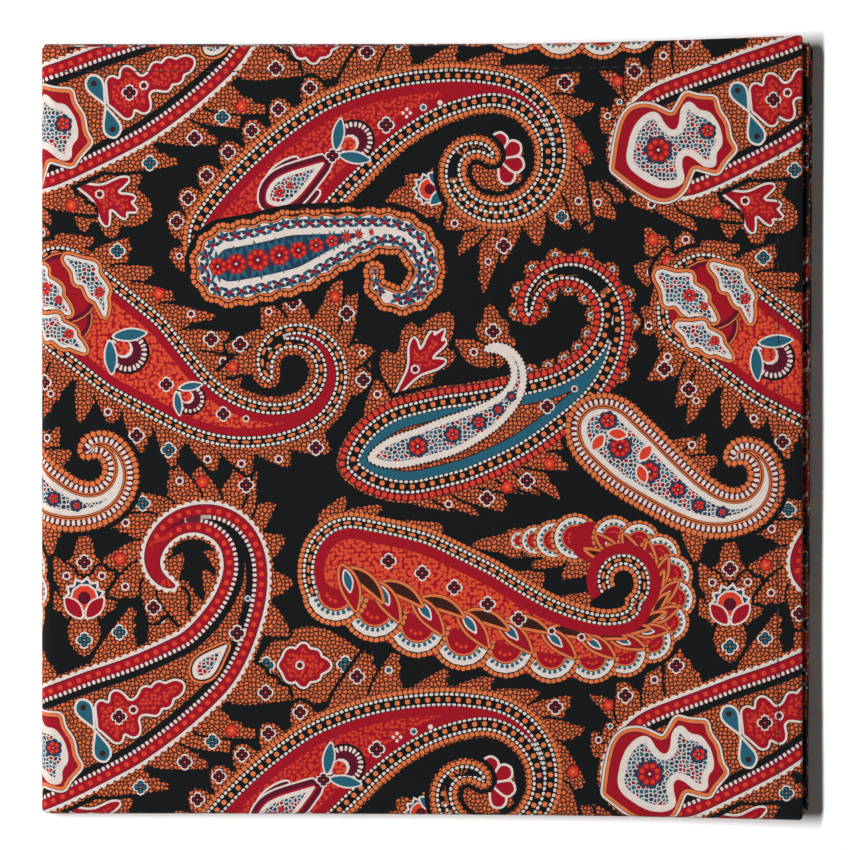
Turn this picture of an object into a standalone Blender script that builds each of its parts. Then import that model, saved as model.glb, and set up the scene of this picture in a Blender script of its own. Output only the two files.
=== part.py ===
"""Printed cotton pocket square, folded in quarters and lying flat.

The square is folded twice, so four quarters lie on each other. The first fold runs along the
-Y edge and the second along the -X edge. The +X and +Y edges are the hemmed edges of all four
quarters. The outer two quarters are one wall that runs round the second fold and rolls in along
the first, their turned hems are strips under that wall, and the inner two quarters are one
rounded solid with a groove between their edges.

Units are metres, +Z is up, and the origin is the middle of the base on the surface below.
"""

import math
from dataclasses import astuple, dataclass

import bmesh
import bpy
from mathutils import Matrix, Vector

MM = 0.001

# Driving sizes of the folded square
QUARTER = 165.0 * MM  # side of the folded square, half that of the open one
WALL = 1.0 * MM  # cloth wall
SEAM_GAP = 0.3 * MM  # room between neighbouring pieces
HEM_WIDTH = 5.4 * MM  # turned hem, from the edge to its stitching
HEM_ROOM = 7.8 * MM  # level strip over the hems, with room for the layers' offsets
HEIGHT_MIDDLE = 5.2 * MM  # four quarters without hems
HEIGHT_HEM = 6.4 * MM  # four quarters with their hems
HEM_SLOPE = 30.0 * MM  # width over which the front comes down from the hems
LIFT = 0.25 * MM  # soft rise and fall of the side hems

# Fold and edge details
ROLL_SPLIT = 0.4 * MM  # room between the two rolls of the first fold
ROLL_RETURN = 2.0 * MM  # length of wall that comes back inside each roll
EDGE_ROUND = 0.3 * MM
EDGE_ROUND_ABOVE = math.radians(50.0)  # an edge sharper than this is rounded
INNER_STEP = 0.6 * MM  # width of the step where the inner quarters pass under a hem
GROOVE_DEPTH = 1.6 * MM  # groove between the two inner quarters, at their edges
CUTTER_REACH = 6.0 * MM  # how far the groove's cutters stand out past the cloth

# Numbers of sections
LIMB_SECTIONS = 13  # across one quarter, from the second fold to its side edge
FOLD_SECTIONS = 8  # round the second fold
LENGTH_SECTIONS = 12  # along one quarter, from the first fold to its top edge
ROLL_SECTIONS = 8  # round the first fold
EDGE_CROWDING = 1.6  # power that sets sections closer together towards the hemmed edges

CLOTH_BLACK = (0.012, 0.014, 0.016, 1.0)
CLOTH_ORANGE = (0.55, 0.16, 0.045, 1.0)
CLOTH_CRIMSON = (0.37, 0.012, 0.025, 1.0)
CLOTH_ROUGHNESS = 0.9


@dataclass(frozen=True)
class Edges:
    """How far the edges of one layer lie outside the plain square, in metres.

    The side edge runs straight between its two values. The top edge and the first fold's edge
    bow out towards the side edge.
    """

    side_at_fold: float
    side_at_top: float
    top_at_fold: float
    top_at_side: float
    fold_at_side: float

    def blend(self, other: "Edges", share: float) -> "Edges":
        """Edges part of the way from these to another layer's."""
        return Edges(*(a + (b - a) * share for a, b in zip(astuple(self), astuple(other))))


#             side_at_fold  side_at_top  top_at_fold  top_at_side  fold_at_side
FRONT = Edges(-0.7 * MM,    -0.7 * MM,   0.5 * MM,    3.0 * MM,    1.4 * MM)
INNER = Edges(0.3 * MM,     0.8 * MM,    0.9 * MM,    1.2 * MM,    0.1 * MM)
BACK = Edges(0.8 * MM,      1.8 * MM,    0.9 * MM,    0.9 * MM,    0.1 * MM)
BOW = 3.0  # power that sets how late an edge bows out

# The square is laid out from its lower left corner, and the origin is the middle of its box.
CENTRE = Vector((
    (QUARTER + BACK.side_at_top) / 2.0,
    (QUARTER + FRONT.top_at_side - FRONT.fold_at_side) / 2.0,
    0.0,
))


def smooth_step(value):
    """Soft step from 0 to 1 while value goes from 0 to 1."""
    value = min(max(value, 0.0), 1.0)
    return value * value * (3.0 - 2.0 * value)


def stack_height(across, along):
    """Height of the four quarters at a place given as shares of the quarter's side.

    It is greatest and nearly level over the hems of both open edges.
    """
    side = 1.0 - smooth_step(((1.0 - across) * QUARTER - HEM_ROOM) / HEM_SLOPE)
    top = 1.0 - smooth_step(((1.0 - along) * QUARTER - HEM_ROOM) / HEM_SLOPE)
    over_hems = 1.0 - (1.0 - side) * (1.0 - top)
    wave = LIFT * side * (0.5 + 0.5 * math.cos(4.0 * math.pi * along))
    return HEIGHT_MIDDLE + (HEIGHT_HEM - HEIGHT_MIDDLE) * over_hems + wave


def across_at(turn, along):
    """Share of the quarter's side at a section of either limb, off the second fold."""
    start = stack_height(0.0, along) / 2.0 / QUARTER
    run = -turn if turn < 0.0 else max(turn - 1.0, 0.0)
    return start + (1.0 - start) * run


def folded_place(turn, along, depth, front=FRONT, back=BACK):
    """Point at a depth below the outside of the folded stack.

    Args:
        turn: -1 at the front's side edge, 0 to 1 round the second fold, and 2 at the back's
            side edge.
        along: share of the quarter's length, 0 at the first fold and 1 at the top edge.
        depth: distance inwards from the outside.
        front: edges of the layer's front limb.
        back: edges of the layer's back limb.
    """
    share = min(max(turn, 0.0), 1.0)
    edges = front.blend(back, smooth_step(share))
    on_fold = share == turn
    across = 0.0 if on_fold else across_at(turn, along)
    side = edges.side_at_fold + (edges.side_at_top - edges.side_at_fold) * along
    top = edges.top_at_fold + (edges.top_at_side - edges.top_at_fold) * across**BOW
    low = -edges.fold_at_side * across**BOW
    y = low + along * (QUARTER + top - low)
    if on_fold:
        radius = stack_height(0.0, along) / 2.0
        angle = math.pi * share
        reach = radius - depth
        return Vector((radius - reach * math.sin(angle), y, radius + reach * math.cos(angle)))
    z = stack_height(across, along) - depth if turn < 0.0 else depth
    return Vector((across * (QUARTER + side), y, z))


def crowded(count, end=1.0):
    """Shares from 0 to end, closer together towards end."""
    return [end * (1.0 - (1.0 - k / count) ** EDGE_CROWDING) for k in range(count + 1)]


def stepped(count):
    """Shares from 0 to 1 for the inner quarters, with their step under a hem at the end."""
    foot = 1.0 - HEM_ROOM / QUARTER
    return crowded(count, foot - INNER_STEP / QUARTER) + [foot, 1.0]


def turns(limb):
    """Sections from the front's side edge round the fold to the back's, for a limb's shares."""
    fold = [k / FOLD_SECTIONS for k in range(FOLD_SECTIONS + 1)]
    return [-share for share in reversed(limb[1:])] + fold + [1.0 + share for share in limb[1:]]


def sheet_through(rows):
    """Open surface through rows of points, as a bmesh grid whose points are moved to them."""
    sheet = bmesh.new()
    last_row, last_place = len(rows) - 1, len(rows[0]) - 1
    bmesh.ops.create_grid(sheet, x_segments=last_row, y_segments=last_place, size=1.0)
    for vert in sheet.verts:
        row = round((vert.co.x + 1.0) / 2.0 * last_row)
        place = round((vert.co.y + 1.0) / 2.0 * last_place)
        vert.co = rows[row][place] - CENTRE
    sheet.normal_update()
    return sheet


def finished(name, shape, colour):
    """Object made from a bmesh, which is freed, with one matte cotton colour."""
    mesh = bpy.data.meshes.new(name)
    shape.to_mesh(mesh)
    shape.free()
    mesh.shade_smooth()
    mesh.materials.append(cloth_material(name, colour))
    return bpy.data.objects.new(name, mesh)


def cloth_material(name, colour):
    """Matte cotton of one colour."""
    material = bpy.data.materials.new(name)
    material.use_nodes = True
    shader = material.node_tree.nodes["Principled BSDF"]
    shader.inputs["Base Color"].default_value = colour
    shader.inputs["Roughness"].default_value = CLOTH_ROUGHNESS
    shader.inputs["Metallic"].default_value = 0.0
    return material


def round_edges(piece):
    """Round the sharp edges of a piece with a Bevel modifier."""
    bevel = piece.modifiers.new("rounded edges", "BEVEL")
    bevel.width = EDGE_ROUND
    bevel.segments = 2
    bevel.limit_method = "ANGLE"
    bevel.angle_limit = EDGE_ROUND_ABOVE


def cloth_wall(name, rows, colour):
    """Cloth wall on the inner side of a surface through rows of points, with round edges."""
    piece = finished(name, sheet_through(rows), colour)
    wall = piece.modifiers.new("wall", "SOLIDIFY")
    wall.thickness = WALL
    wall.offset = -1.0
    wall.use_even_offset = True
    round_edges(piece)
    return piece


def outer_quarters():
    """Front and back quarters, round the second fold, with the two rolls of the first."""
    rows = []
    for turn in turns(crowded(LIMB_SECTIONS)):
        radius = roll_radius(turn)
        start = radius / QUARTER
        row = [
            folded_place(turn, start + (1.0 - start) * share, 0.0)
            for share in reversed(crowded(LENGTH_SECTIONS))
        ]
        for k in range(1, ROLL_SECTIONS + 1):
            angle = math.pi * k / ROLL_SECTIONS
            along = start * (1.0 - math.sin(angle))
            row.append(folded_place(turn, along, radius * (1.0 - math.cos(angle))))
        row.append(folded_place(turn, start + ROLL_RETURN / QUARTER, 2.0 * radius))
        rows.append(row)
    return cloth_wall("outer_quarters", rows, CLOTH_BLACK)


def roll_radius(turn):
    """Outside radius of the first fold's roll at one section."""
    across = 0.0 if 0.0 <= turn <= 1.0 else across_at(turn, 0.0)
    return (stack_height(across, 0.0) - ROLL_SPLIT) / 4.0


def outer_top_hem():
    """Turned hem along the top edge of the outer quarters, inside their wall."""
    inset = SEAM_GAP / QUARTER
    hem = [1.0 - inset, 1.0 - HEM_WIDTH / 2.0 / QUARTER, 1.0 - HEM_WIDTH / QUARTER]
    limb = crowded(LIMB_SECTIONS, 1.0 - inset)
    rows = [[folded_place(turn, share, WALL + SEAM_GAP) for share in hem] for turn in turns(limb)]
    return cloth_wall("outer_top_hem", rows, CLOTH_ORANGE)


def side_hem(name, edge_turn, inward):
    """Turned hem along a side edge of the outer quarters, inside their wall.

    Args:
        name: the piece's name.
        edge_turn: the turn of that edge, -1 in front and 2 at the back.
        inward: 1 or -1, the way the turn goes from that edge into the cloth.
    """
    low = (roll_radius(edge_turn) + ROLL_RETURN + SEAM_GAP) / QUARTER
    high = 1.0 - (HEM_WIDTH + SEAM_GAP) / QUARTER
    steps = sorted(edge_turn + inward * step / QUARTER for step in (SEAM_GAP, HEM_WIDTH / 2.0, HEM_WIDTH))
    shares = [high + (low - high) * k / LENGTH_SECTIONS for k in range(LENGTH_SECTIONS + 1)]
    rows = [[folded_place(turn, share, WALL + SEAM_GAP) for share in shares] for turn in steps]
    return cloth_wall(name, rows, CLOTH_ORANGE)


def inner_place(turn, along):
    """Point on the outside of the inner quarters, which pass under the hems at the edges."""
    across = 0.0 if 0.0 <= turn <= 1.0 else across_at(turn, along)
    to_edge = min(1.0 - across, 1.0 - along) * QUARTER
    layers_above = 2 if to_edge < HEM_ROOM + INNER_STEP / 2.0 else 1
    return folded_place(turn, along, layers_above * (WALL + SEAM_GAP), INNER, INNER)


def inner_quarters(cutters):
    """The two hidden quarters, one rounded solid with a groove between their edges."""
    first = (roll_radius(2.0) + ROLL_RETURN + SEAM_GAP) / QUARTER
    length = [first + (1.0 - first) * share for share in reversed(stepped(LENGTH_SECTIONS))]
    limb = stepped(LIMB_SECTIONS)
    shape = sheet_through([[inner_place(turn, share) for share in length] for turn in turns(limb)])
    side = [edge for edge in shape.edges if edge.is_boundary and on_side_edge(edge)]
    bmesh.ops.bridge_loops(shape, edges=side)
    bmesh.ops.holes_fill(shape, edges=[edge for edge in shape.edges if edge.is_boundary])
    bmesh.ops.recalc_face_normals(shape, faces=shape.faces)
    piece = finished("inner_quarters", shape, CLOTH_CRIMSON)
    round_edges(piece)
    for cutter in cutters:
        groove = piece.modifiers.new("groove", "BOOLEAN")
        groove.operation = "DIFFERENCE"
        groove.solver = "EXACT"
        groove.object = cutter
    return piece


def on_side_edge(edge):
    """Whether a boundary edge of the inner quarters runs along their open side."""
    run = edge.verts[1].co - edge.verts[0].co
    past_middle = min(vert.co.x for vert in edge.verts) > 0.0
    return past_middle and abs(run.y) > abs(run.x)


def groove_cutters():
    """Thin boxes that cut the groove, one along the side edge and one along the top edge."""
    middle = HEIGHT_HEM / 2.0
    side_start = QUARTER + INNER.side_at_fold - GROOVE_DEPTH
    top_start = QUARTER + INNER.top_at_fold - GROOVE_DEPTH
    side = (Vector((side_start, -CUTTER_REACH, 0.0)),
            Vector((QUARTER + CUTTER_REACH, QUARTER + CUTTER_REACH, 0.0)))
    top = (Vector((HEIGHT_HEM, top_start, 0.0)),
           Vector((side_start + GROOVE_DEPTH / 2.0, QUARTER + CUTTER_REACH, 0.0)))
    return [
        thin_box("side_groove", *side, middle, SEAM_GAP),
        thin_box("top_groove", *top, middle, SEAM_GAP),
    ]


def thin_box(name, low, high, middle, thickness):
    """Level box between two plan corners, used as a cutter."""
    size = high - low
    size.z = thickness
    centre = (low + high) / 2.0 - CENTRE
    centre.z = middle
    shape = bmesh.new()
    bmesh.ops.create_cube(shape, size=1.0, matrix=Matrix.LocRotScale(centre, None, size))
    mesh = bpy.data.meshes.new(name)
    shape.to_mesh(mesh)
    shape.free()
    box = bpy.data.objects.new(name, mesh)
    box.hide_render = True
    box.display_type = "WIRE"
    return box


def empty_scene():
    """Remove the objects that the file opened with."""
    for thing in list(bpy.data.objects):
        bpy.data.objects.remove(thing, do_unlink=True)


def into_collection(name, pieces):
    """Link pieces to a new collection of the scene."""
    collection = bpy.data.collections.new(name)
    bpy.context.scene.collection.children.link(collection)
    for piece in pieces:
        collection.objects.link(piece)


def build():
    """Make every piece of the folded square."""
    empty_scene()
    cutters = groove_cutters()
    into_collection("cutters", cutters)
    into_collection("pocket_square", [
        outer_quarters(),
        outer_top_hem(),
        side_hem("front_side_hem", -1.0, 1.0),
        side_hem("back_side_hem", 2.0, -1.0),
        inner_quarters(cutters),
    ])


build()
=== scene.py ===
"""Looks of the folded pocket square: printed cotton twill with turned, stitched hems.

The print is drawn once as shapes in the cloth's own millimetres and repeated over each sheet.
The shapes cut the flat sheet into faces, and the sheet is then folded: round the left fold, in
along the first fold, and under at the hems.
"""

import logging
import math
import random
from collections.abc import Callable
from dataclasses import astuple, dataclass, field
from enum import Enum, IntEnum
from itertools import product

import bmesh
import bpy
import numpy as np
from bmesh.types import BMEdge, BMesh, BMFace, BMVert
from bpy.types import Material, Object
from mathutils import Matrix, Vector
from mathutils.geometry import delaunay_2d_cdt


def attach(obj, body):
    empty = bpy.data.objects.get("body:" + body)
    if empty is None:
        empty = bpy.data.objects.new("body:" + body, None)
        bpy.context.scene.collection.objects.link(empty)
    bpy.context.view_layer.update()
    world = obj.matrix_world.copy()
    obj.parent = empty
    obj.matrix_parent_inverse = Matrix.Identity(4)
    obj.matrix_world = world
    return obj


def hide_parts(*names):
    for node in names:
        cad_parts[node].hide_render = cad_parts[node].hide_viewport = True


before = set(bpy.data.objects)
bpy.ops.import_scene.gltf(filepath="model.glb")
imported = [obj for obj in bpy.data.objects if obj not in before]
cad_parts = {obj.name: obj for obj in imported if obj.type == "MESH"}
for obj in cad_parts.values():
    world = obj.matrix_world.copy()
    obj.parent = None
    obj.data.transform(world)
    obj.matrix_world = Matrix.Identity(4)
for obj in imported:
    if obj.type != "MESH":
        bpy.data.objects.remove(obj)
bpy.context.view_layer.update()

log = logging.getLogger("pocket square")

Array = np.ndarray
Path = Array  # a line on the cloth: one complex number a point, u to the right and v up, in mm

OUTLINE_STEP = 0.5  # spacing of the points that an outline is worked out from
FINE_STEP = 0.4  # the same for a small flower
LEAF_STEP = 0.8  # the same for the black edge of a leaf
NEARBY = 0.1  # reach on each side over which a line's direction is taken
ROUNDING = 0.035  # how far a thinned outline may leave the smooth one
LONGEST_STEP = 5.0  # between two points of a thinned outline
FEWEST_POINTS = 6  # of a thinned outline
CLEARANCE = 0.97  # share of an offset by which a moved point has to clear the outline
CELL, CELL_RISE = 1.25, 0.32  # pitch and height of the cells along a leaf's edge
LEAF_GAP, BUNCH_GAP, BOTEH_GAP = 0.75, 1.0, 1.2  # black edges round a leaf, a bunch and a boteh
TINY = 1e-9


class Ink(IntEnum):
    """The print's dyes and, from WHITE_BEADS on, the small patterns that run along its bands."""

    BLACK = 0
    ORANGE = 1
    CREAM = 2
    CRIMSON = 3
    FLECKED = 4
    MAROON = 5
    TEAL = 6
    NAVY = 7
    UMBER = 8
    AMBER = 9
    SCARLET = 10
    GARDEN = 11
    EMBERS = 12
    WHITE_BEADS = 13
    AMBER_DOTS = 14
    AMBER_DASHES = 15
    AMBER_BEADS = 16
    WHITE_COMB = 17
    DOTTED_CRIMSON = 18
    SCARLET_BEADS = 19
    TEAL_TEETH = 20


(BLACK, ORANGE, CREAM, CRIMSON, FLECKED, MAROON, TEAL, NAVY, UMBER, AMBER, SCARLET, GARDEN, EMBERS,
 WHITE_BEADS, AMBER_DOTS, AMBER_DASHES, AMBER_BEADS, WHITE_COMB, DOTTED_CRIMSON, SCARLET_BEADS,
 TEAL_TEETH) = Ink


class Flower(Enum):
    """The small flowers on the leaves."""

    NONE = 0
    FOUR = 1
    BLUE = 2
    RING = 3
    EYE = 4
    RED = 5


PLAIN, FOUR, BLUE, RING, EYE, RED_ONE = Flower


def toward(degrees: float) -> complex:
    """Unit step in a direction, counter-clockwise from +u."""
    return complex(np.exp(1j * math.radians(degrees)))


def running(steps: Array) -> Array:
    """Running total of steps, from 0."""
    return np.concatenate([[0.0], np.cumsum(steps)])


def evenly(path: Path, pitch: float, closed: bool = True) -> tuple[Path, Path]:
    """Points at an even pitch, fitted to the path's length, and the unit steps along it there."""
    loop = np.append(path, path[0]) if closed else path
    reach = running(np.abs(np.diff(loop)))
    count = max(round(reach[-1] / pitch), 3)
    at = np.arange(count) * reach[-1] / count if closed else np.linspace(0, reach[-1], count)

    def place(run: Array) -> Path:
        run = run % reach[-1] if closed else np.clip(run, 0.0, reach[-1])
        return np.interp(run, reach, loop.real) + 1j * np.interp(run, reach, loop.imag)

    along = place(at + NEARBY) - place(at - NEARBY)
    return place(at), along / np.maximum(np.abs(along), TINY)


def thinned(path: Path) -> Path:
    """A closed path without the points that it hardly bends at."""
    for _ in range(4):
        before, after = np.roll(path, 1), np.roll(path, -1)
        chord = after - before
        rise = np.abs(((path - before) * chord.conj()).imag) / np.maximum(np.abs(chord), TINY)
        drop = (rise < ROUNDING) & (np.abs(chord) < LONGEST_STEP) & (np.arange(len(path)) % 2 == 1)
        if len(path) - drop.sum() < FEWEST_POINTS:
            break
        path = path[~drop]
    return path


def crossed(first: Path, second: Path) -> Array:
    """The cross product of two steps on the cloth."""
    return (np.conj(first) * second).imag


def uncrossed(outline: Path) -> Path:
    """A closed outline without the small loops where it crosses itself."""
    while len(outline) > 5:
        count, run = len(outline), np.roll(outline, -1) - outline
        gap = outline[None, :] - outline[:, None]
        turn = crossed(run[:, None], run[None, :])
        turn = np.where(np.abs(turn) < TINY ** 2, np.inf, turn)
        first = crossed(gap, run[None, :]) / turn
        second = crossed(gap, run[:, None]) / turn
        meet = np.triu((first > 0) & (first < 1) & (second > 0) & (second < 1), 2)
        meet[0, -1] = False
        rows, columns = np.nonzero(meet)
        if not len(rows):
            break
        loop = np.minimum(columns - rows, count - columns + rows)
        i, j = rows[loop.argmin()], columns[loop.argmin()]
        point = outline[i] + run[i] * first[i, j]
        if j - i <= count / 2:
            outline = np.concatenate([outline[: i + 1], [point], outline[j + 1:]])
        else:
            outline = np.concatenate([[point], outline[i + 1: j + 1]])
    return outline


def offset(outline: Path, distance: float) -> Path:
    """A closed outline moved outwards, or inwards where the distance is negative."""
    points, along = evenly(outline, OUTLINE_STEP)
    moved = points - 1j * along * distance
    room = np.abs(moved[:, None] - points[None, :]).min(axis=1)
    return moved[room >= abs(distance) * CLEARANCE]


def shifted(path: Path, distance: float) -> Path:
    """An open line moved to its left."""
    along = np.gradient(path)
    return path + 1j * along / np.maximum(np.abs(along), TINY) * distance


def waved(outline: Path, pitch: float, depth: float, points: int = 3) -> Path:
    """A closed outline with scallops standing out from it, each of a few points."""
    length = np.abs(np.diff(np.append(outline, outline[0]))).sum()
    count = max(round(length / pitch), 3)
    places, along = evenly(outline, length / count / points)
    rise = depth * np.abs(np.sin(np.pi * np.arange(len(places)) / points))
    return places - 1j * along * rise


def ragged(outline: Path) -> Path:
    """A leaf's outline with the round edge of its small cells."""
    return waved(outline, CELL, CELL_RISE, 2)


def disc(centre: complex, radius: float, sides: int = 6) -> Path:
    """A small round outline."""
    return centre + radius * np.exp(2j * np.pi * np.arange(sides) / sides)


def rounded(outline: Path, passes: int = 2) -> Path:
    """A closed outline whose corners are cut at a quarter of each side, again and again."""
    for _ in range(passes):
        after = np.roll(outline, -1)
        outline = np.stack([outline * 0.75 + after * 0.25, outline * 0.25 + after * 0.75], axis=1).ravel()
    return outline


def quatrefoil(centre: complex, radius: float) -> Path:
    """A round outline with four full petals."""
    #         angle share of the radius
    petal = ((-30, 0.9), (0, 1.0), (30, 0.9), (45, 0.64))
    return np.array([centre + radius * share * toward(90 * k + angle)
                     for k in range(4) for angle, share in petal])


def petalled(centre: complex, radius: float, petals: int, notch: float, points: int = 3) -> Path:
    """A round outline with petals, whose notches are given as a share of the radius."""
    angle = 2 * np.pi * np.arange(petals * points) / (petals * points)
    reach = radius * (1 - notch * np.abs(np.cos(petals * angle / 2)) ** 2)
    return centre + reach * np.exp(1j * angle)


# Profiles in hundredths of the length and of the half width
OVAL = ((0, 0), (8, 42), (22, 80), (42, 100), (62, 86), (82, 45), (100, 0))
PETAL = ((0, 0), (25, 75), (55, 100), (80, 60), (100, 0))
LOBED = ((0, 25), (20, 50), (30, 95), (38, 100), (44, 62), (58, 78),
         (68, 72), (72, 40), (84, 34), (100, 0))
SPREAD = ((0, 20), (10, 34), (22, 46), (30, 84), (44, 100), (42, 64), (52, 58),
          (62, 86), (76, 80), (71, 46), (82, 42), (92, 30), (100, 0))
DROP = ((0, 0), (5, 45), (14, 80), (28, 100), (45, 90), (65, 60), (85, 26),
        (100, 0))
LILY = ((0, 0), (10, 10), (28, 20), (40, 34), (50, 62), (60, 98), (74, 112),
        (70, 72), (63, 40), (71, 32), (84, 50), (95, 46), (87, 22), (96, 12),
        (105, 0))
TULIP = ((0, 0), (3, 20), (6, 60), (10, 95), (17, 98), (20, 74), (24, 72),
         (28, 105), (35, 108), (40, 80), (41, 45), (47, 32), (54, 42), (60, 66),
         (66, 62), (69, 44), (75, 60), (81, 54), (84, 32), (90, 36), (97, 28),
         (102, 0))
STAR = ((0, 0), (10, 30), (16, 70), (28, 80), (34, 66), (42, 96), (54, 100),
        (60, 70), (70, 72), (80, 60), (80, 36), (92, 28), (102, 0))
HEART = ((0, 0), (3, 12), (12, 50), (24, 88), (36, 100), (50, 90), (60, 62),
         (64, 56), (70, 68), (80, 86), (86, 72), (94, 62), (102, 54), (99, 30),
         (103, 0))
CURLED = ((0, 0), (4, 30), (18, 78), (34, 100), (48, 96), (50, 50), (56, 32),
          (63, 44), (70, 82), (82, 90), (86, 56), (96, 46), (100, 0))

# A leaf of a fringe, in hundredths of its root and of its reach
FLAME = ((-50, -20), (-52, 8), (-44, 32), (-30, 55), (-14, 78), (0, 100), (10, 80),
         (27, 80), (24, 56), (43, 52), (38, 30), (55, 20), (50, -20))
SCALLOP = ((-50, -20), (-52, 20), (-42, 55), (-22, 90), (6, 100), (32, 80),
           (47, 45), (50, -20))


REACH_OF_PROFILES = 1.1  # the farthest share of the length in any profile
TRUE_AT = 0.3  # share of the length where a bent leaf runs in its given direction


def shaped(profile: tuple, base: complex, direction: float, length: float, width: float,
           bend: float = 0.0) -> Path:
    """Outline of a leaf, petal or drop of a given profile that may bend to one side.

    Args:
        profile: rows of hundredths of the length and of the half width.
        base: the end that it grows from.
        direction: its direction, in degrees.
        length: its length along the middle.
        width: its greatest width.
        bend: how far its direction turns from end to end, in degrees.

    Returns:
        The outline, without the points that it hardly bends at.
    """
    along, half = np.array(profile).T / 100
    fine = np.linspace(0, REACH_OF_PROFILES, 34)
    heading = np.exp(1j * np.radians(direction + bend * (fine - TRUE_AT)))
    spine = running((heading[1:] + heading[:-1]) / 2) * fine[1] * length
    centre = base + np.interp(along, fine, spine.real) + 1j * np.interp(along, fine, spine.imag)
    side = 1j * half * width / 2 * np.exp(1j * np.radians(direction + bend * (along - TRUE_AT)))
    first = 1 if half[0] == 0 else 0
    return thinned(rounded(np.concatenate([centre - side, (centre + side)[first:-1][::-1]])))


@dataclass(frozen=True)
class Bend:
    """One stretch of a boteh's midrib: run in mm, turn in degrees, half width in mm at its end."""

    run: float
    turn: float
    half: float


@dataclass(frozen=True)
class Boteh:
    """The curved teardrop of a paisley, as a midrib with a width."""

    start: complex
    heading: float
    bends: tuple[Bend, ...]
    head: float = 9.0  # length over which the head rounds out
    point: float = 1.0  # 1 for a round head, more for a pointed one
    tip: float = 3.0  # length over which the tail rounds off
    step: float = 0.25
    blend: int = 17  # steps over which one bend passes into the next

    def midrib(self) -> tuple[Path, Path, Array]:
        """Places, unit steps and half widths along the midrib."""
        count = [max(round(bend.run / self.step), 1) for bend in self.bends]
        curve = np.repeat([math.radians(b.turn) / n for b, n in zip(self.bends, count)], count)
        curve = self.softened(curve)
        angle = math.radians(self.heading) + running(curve)
        along = np.exp(1j * angle)
        place = self.start + running((along[1:] + along[:-1]) / 2) * self.step
        reach = np.arange(len(place)) * self.step
        knots = running(count) * self.step
        half = np.interp(reach, knots, [self.bends[0].half, *(b.half for b in self.bends)])
        half = self.softened(half)
        near = np.clip(1 - reach / self.head, 0, 1)
        far = np.clip(1 - (reach[-1] - reach) / self.tip, 0, 1)
        return place, along, half * (1 - near ** 2) ** (0.5 * self.point) * np.sqrt(1 - far ** 2)

    def softened(self, values: Array) -> Array:
        """Values along the midrib, averaged over a few steps."""
        window = np.ones(self.blend) / self.blend
        return np.convolve(np.pad(values, self.blend // 2, mode="edge"), window, mode="valid")

    def outline(self, grow: float = 0.0) -> Path:
        """Closed outline, run counter-clockwise, moved outwards by grow."""
        place, along, half = self.midrib()
        outline = np.concatenate([place - 1j * along * half, (place + 1j * along * half)[::-1]])
        outline = evenly(outline, OUTLINE_STEP)[0]
        return offset(outline, grow) if grow else outline

    def line(self, side: float, start: float = 0.0, end: float = 1.0) -> Path:
        """An open line along it: side -1 is its right edge, 0 its midrib and 1 its left edge."""
        place, along, half = self.midrib()
        return (place + 1j * along * half * side)[int(start * len(place)): int(end * len(place))]

    def spot(self, share: float, side: float = 0.0) -> tuple[complex, float]:
        """A place at a share of the midrib's length and of the half width, and the heading."""
        place, along, half = self.midrib()
        k = min(int(share * len(place)), len(place) - 1)
        return place[k] + 1j * along[k] * half[k] * side, math.degrees(np.angle(along[k]))


def boteh(start: complex, heading: float, rows: tuple, **ends: float) -> Boteh:
    """A boteh from rows of run, turn and half width."""
    return Boteh(start, heading, tuple(Bend(*row) for row in rows), **ends)


@dataclass(frozen=True)
class Guide:
    """The line that a band's small pattern runs along."""

    path: Path
    closed: bool
    half: float  # half the band's width
    pitch: float  # one repeat of the pattern

    def places(self, points: Path) -> Array:
        """Repeats along the line and share of the half width across it, for each point."""
        loop = np.append(self.path, self.path[0]) if self.closed else self.path
        step = np.diff(loop)
        length = np.maximum(np.abs(step), TINY)
        reach = running(length)
        repeats = max(round(reach[-1] / self.pitch), 1)
        away = (points[:, None] - loop[None, :-1]) * (step / length).conj()[None, :]
        run = np.clip(away.real, 0.0, length[None, :])
        gap = np.abs(away - run)
        near = gap.argmin(axis=1)
        row = np.arange(len(points))
        along = (reach[near] + run[row, near]) / reach[-1] * repeats
        across = np.sign(away[row, near].imag) * gap[row, near] / self.half
        return np.stack([along, across, np.full(len(points), repeats)], axis=1)


@dataclass(frozen=True)
class Shape:
    """One printed shape: its ink, its outline, and its guide if the ink is a small pattern."""

    ink: Ink
    outline: Path
    guide: Guide | None = None


@dataclass(frozen=True)
class Leaf:
    """One leaf of a fringe.

    Attributes:
        share: where its root is, as a share of the boteh's midrib.
        root: the root's length along the boteh's edge, in mm.
        reach: how far it stands out, in mm.
        sweep: how far its tip leans towards the boteh's tail, in degrees.
        flower: the flower on it.
        profile: its form.
    """

    share: float
    root: float
    reach: float
    sweep: float = 30.0
    flower: Flower = PLAIN
    profile: tuple = FLAME


def leaves(*rows: tuple) -> tuple[Leaf, ...]:
    """A fringe from rows of share, root, reach, sweep and flower."""
    return tuple(Leaf(*row) for row in rows)


def scallops(root: float, reach: float, sweep: float, flower: Flower, *shares: float) -> tuple[tuple, ...]:
    """Rows of like scalloped leaves, one at each share of the midrib."""
    return tuple((share, root, reach, sweep, flower, SCALLOP) for share in shares)


@dataclass(frozen=True)
class Spray:
    """One leaf that grows from a point of the ground, in mm and degrees."""

    base: complex
    direction: float
    length: float
    width: float
    profile: tuple = OVAL
    bend: float = 0.0
    flower: Flower = PLAIN
    share: float = 0.5  # where along it the flower is

    def outline(self) -> Path:
        """The leaf's outline."""
        return shaped(self.profile, self.base, self.direction, self.length, self.width, self.bend)

    def spot(self) -> complex:
        """The flower's place."""
        heading = self.direction + self.bend * (self.share - TRUE_AT) / 2
        return self.base + toward(heading) * self.length * self.share


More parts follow.
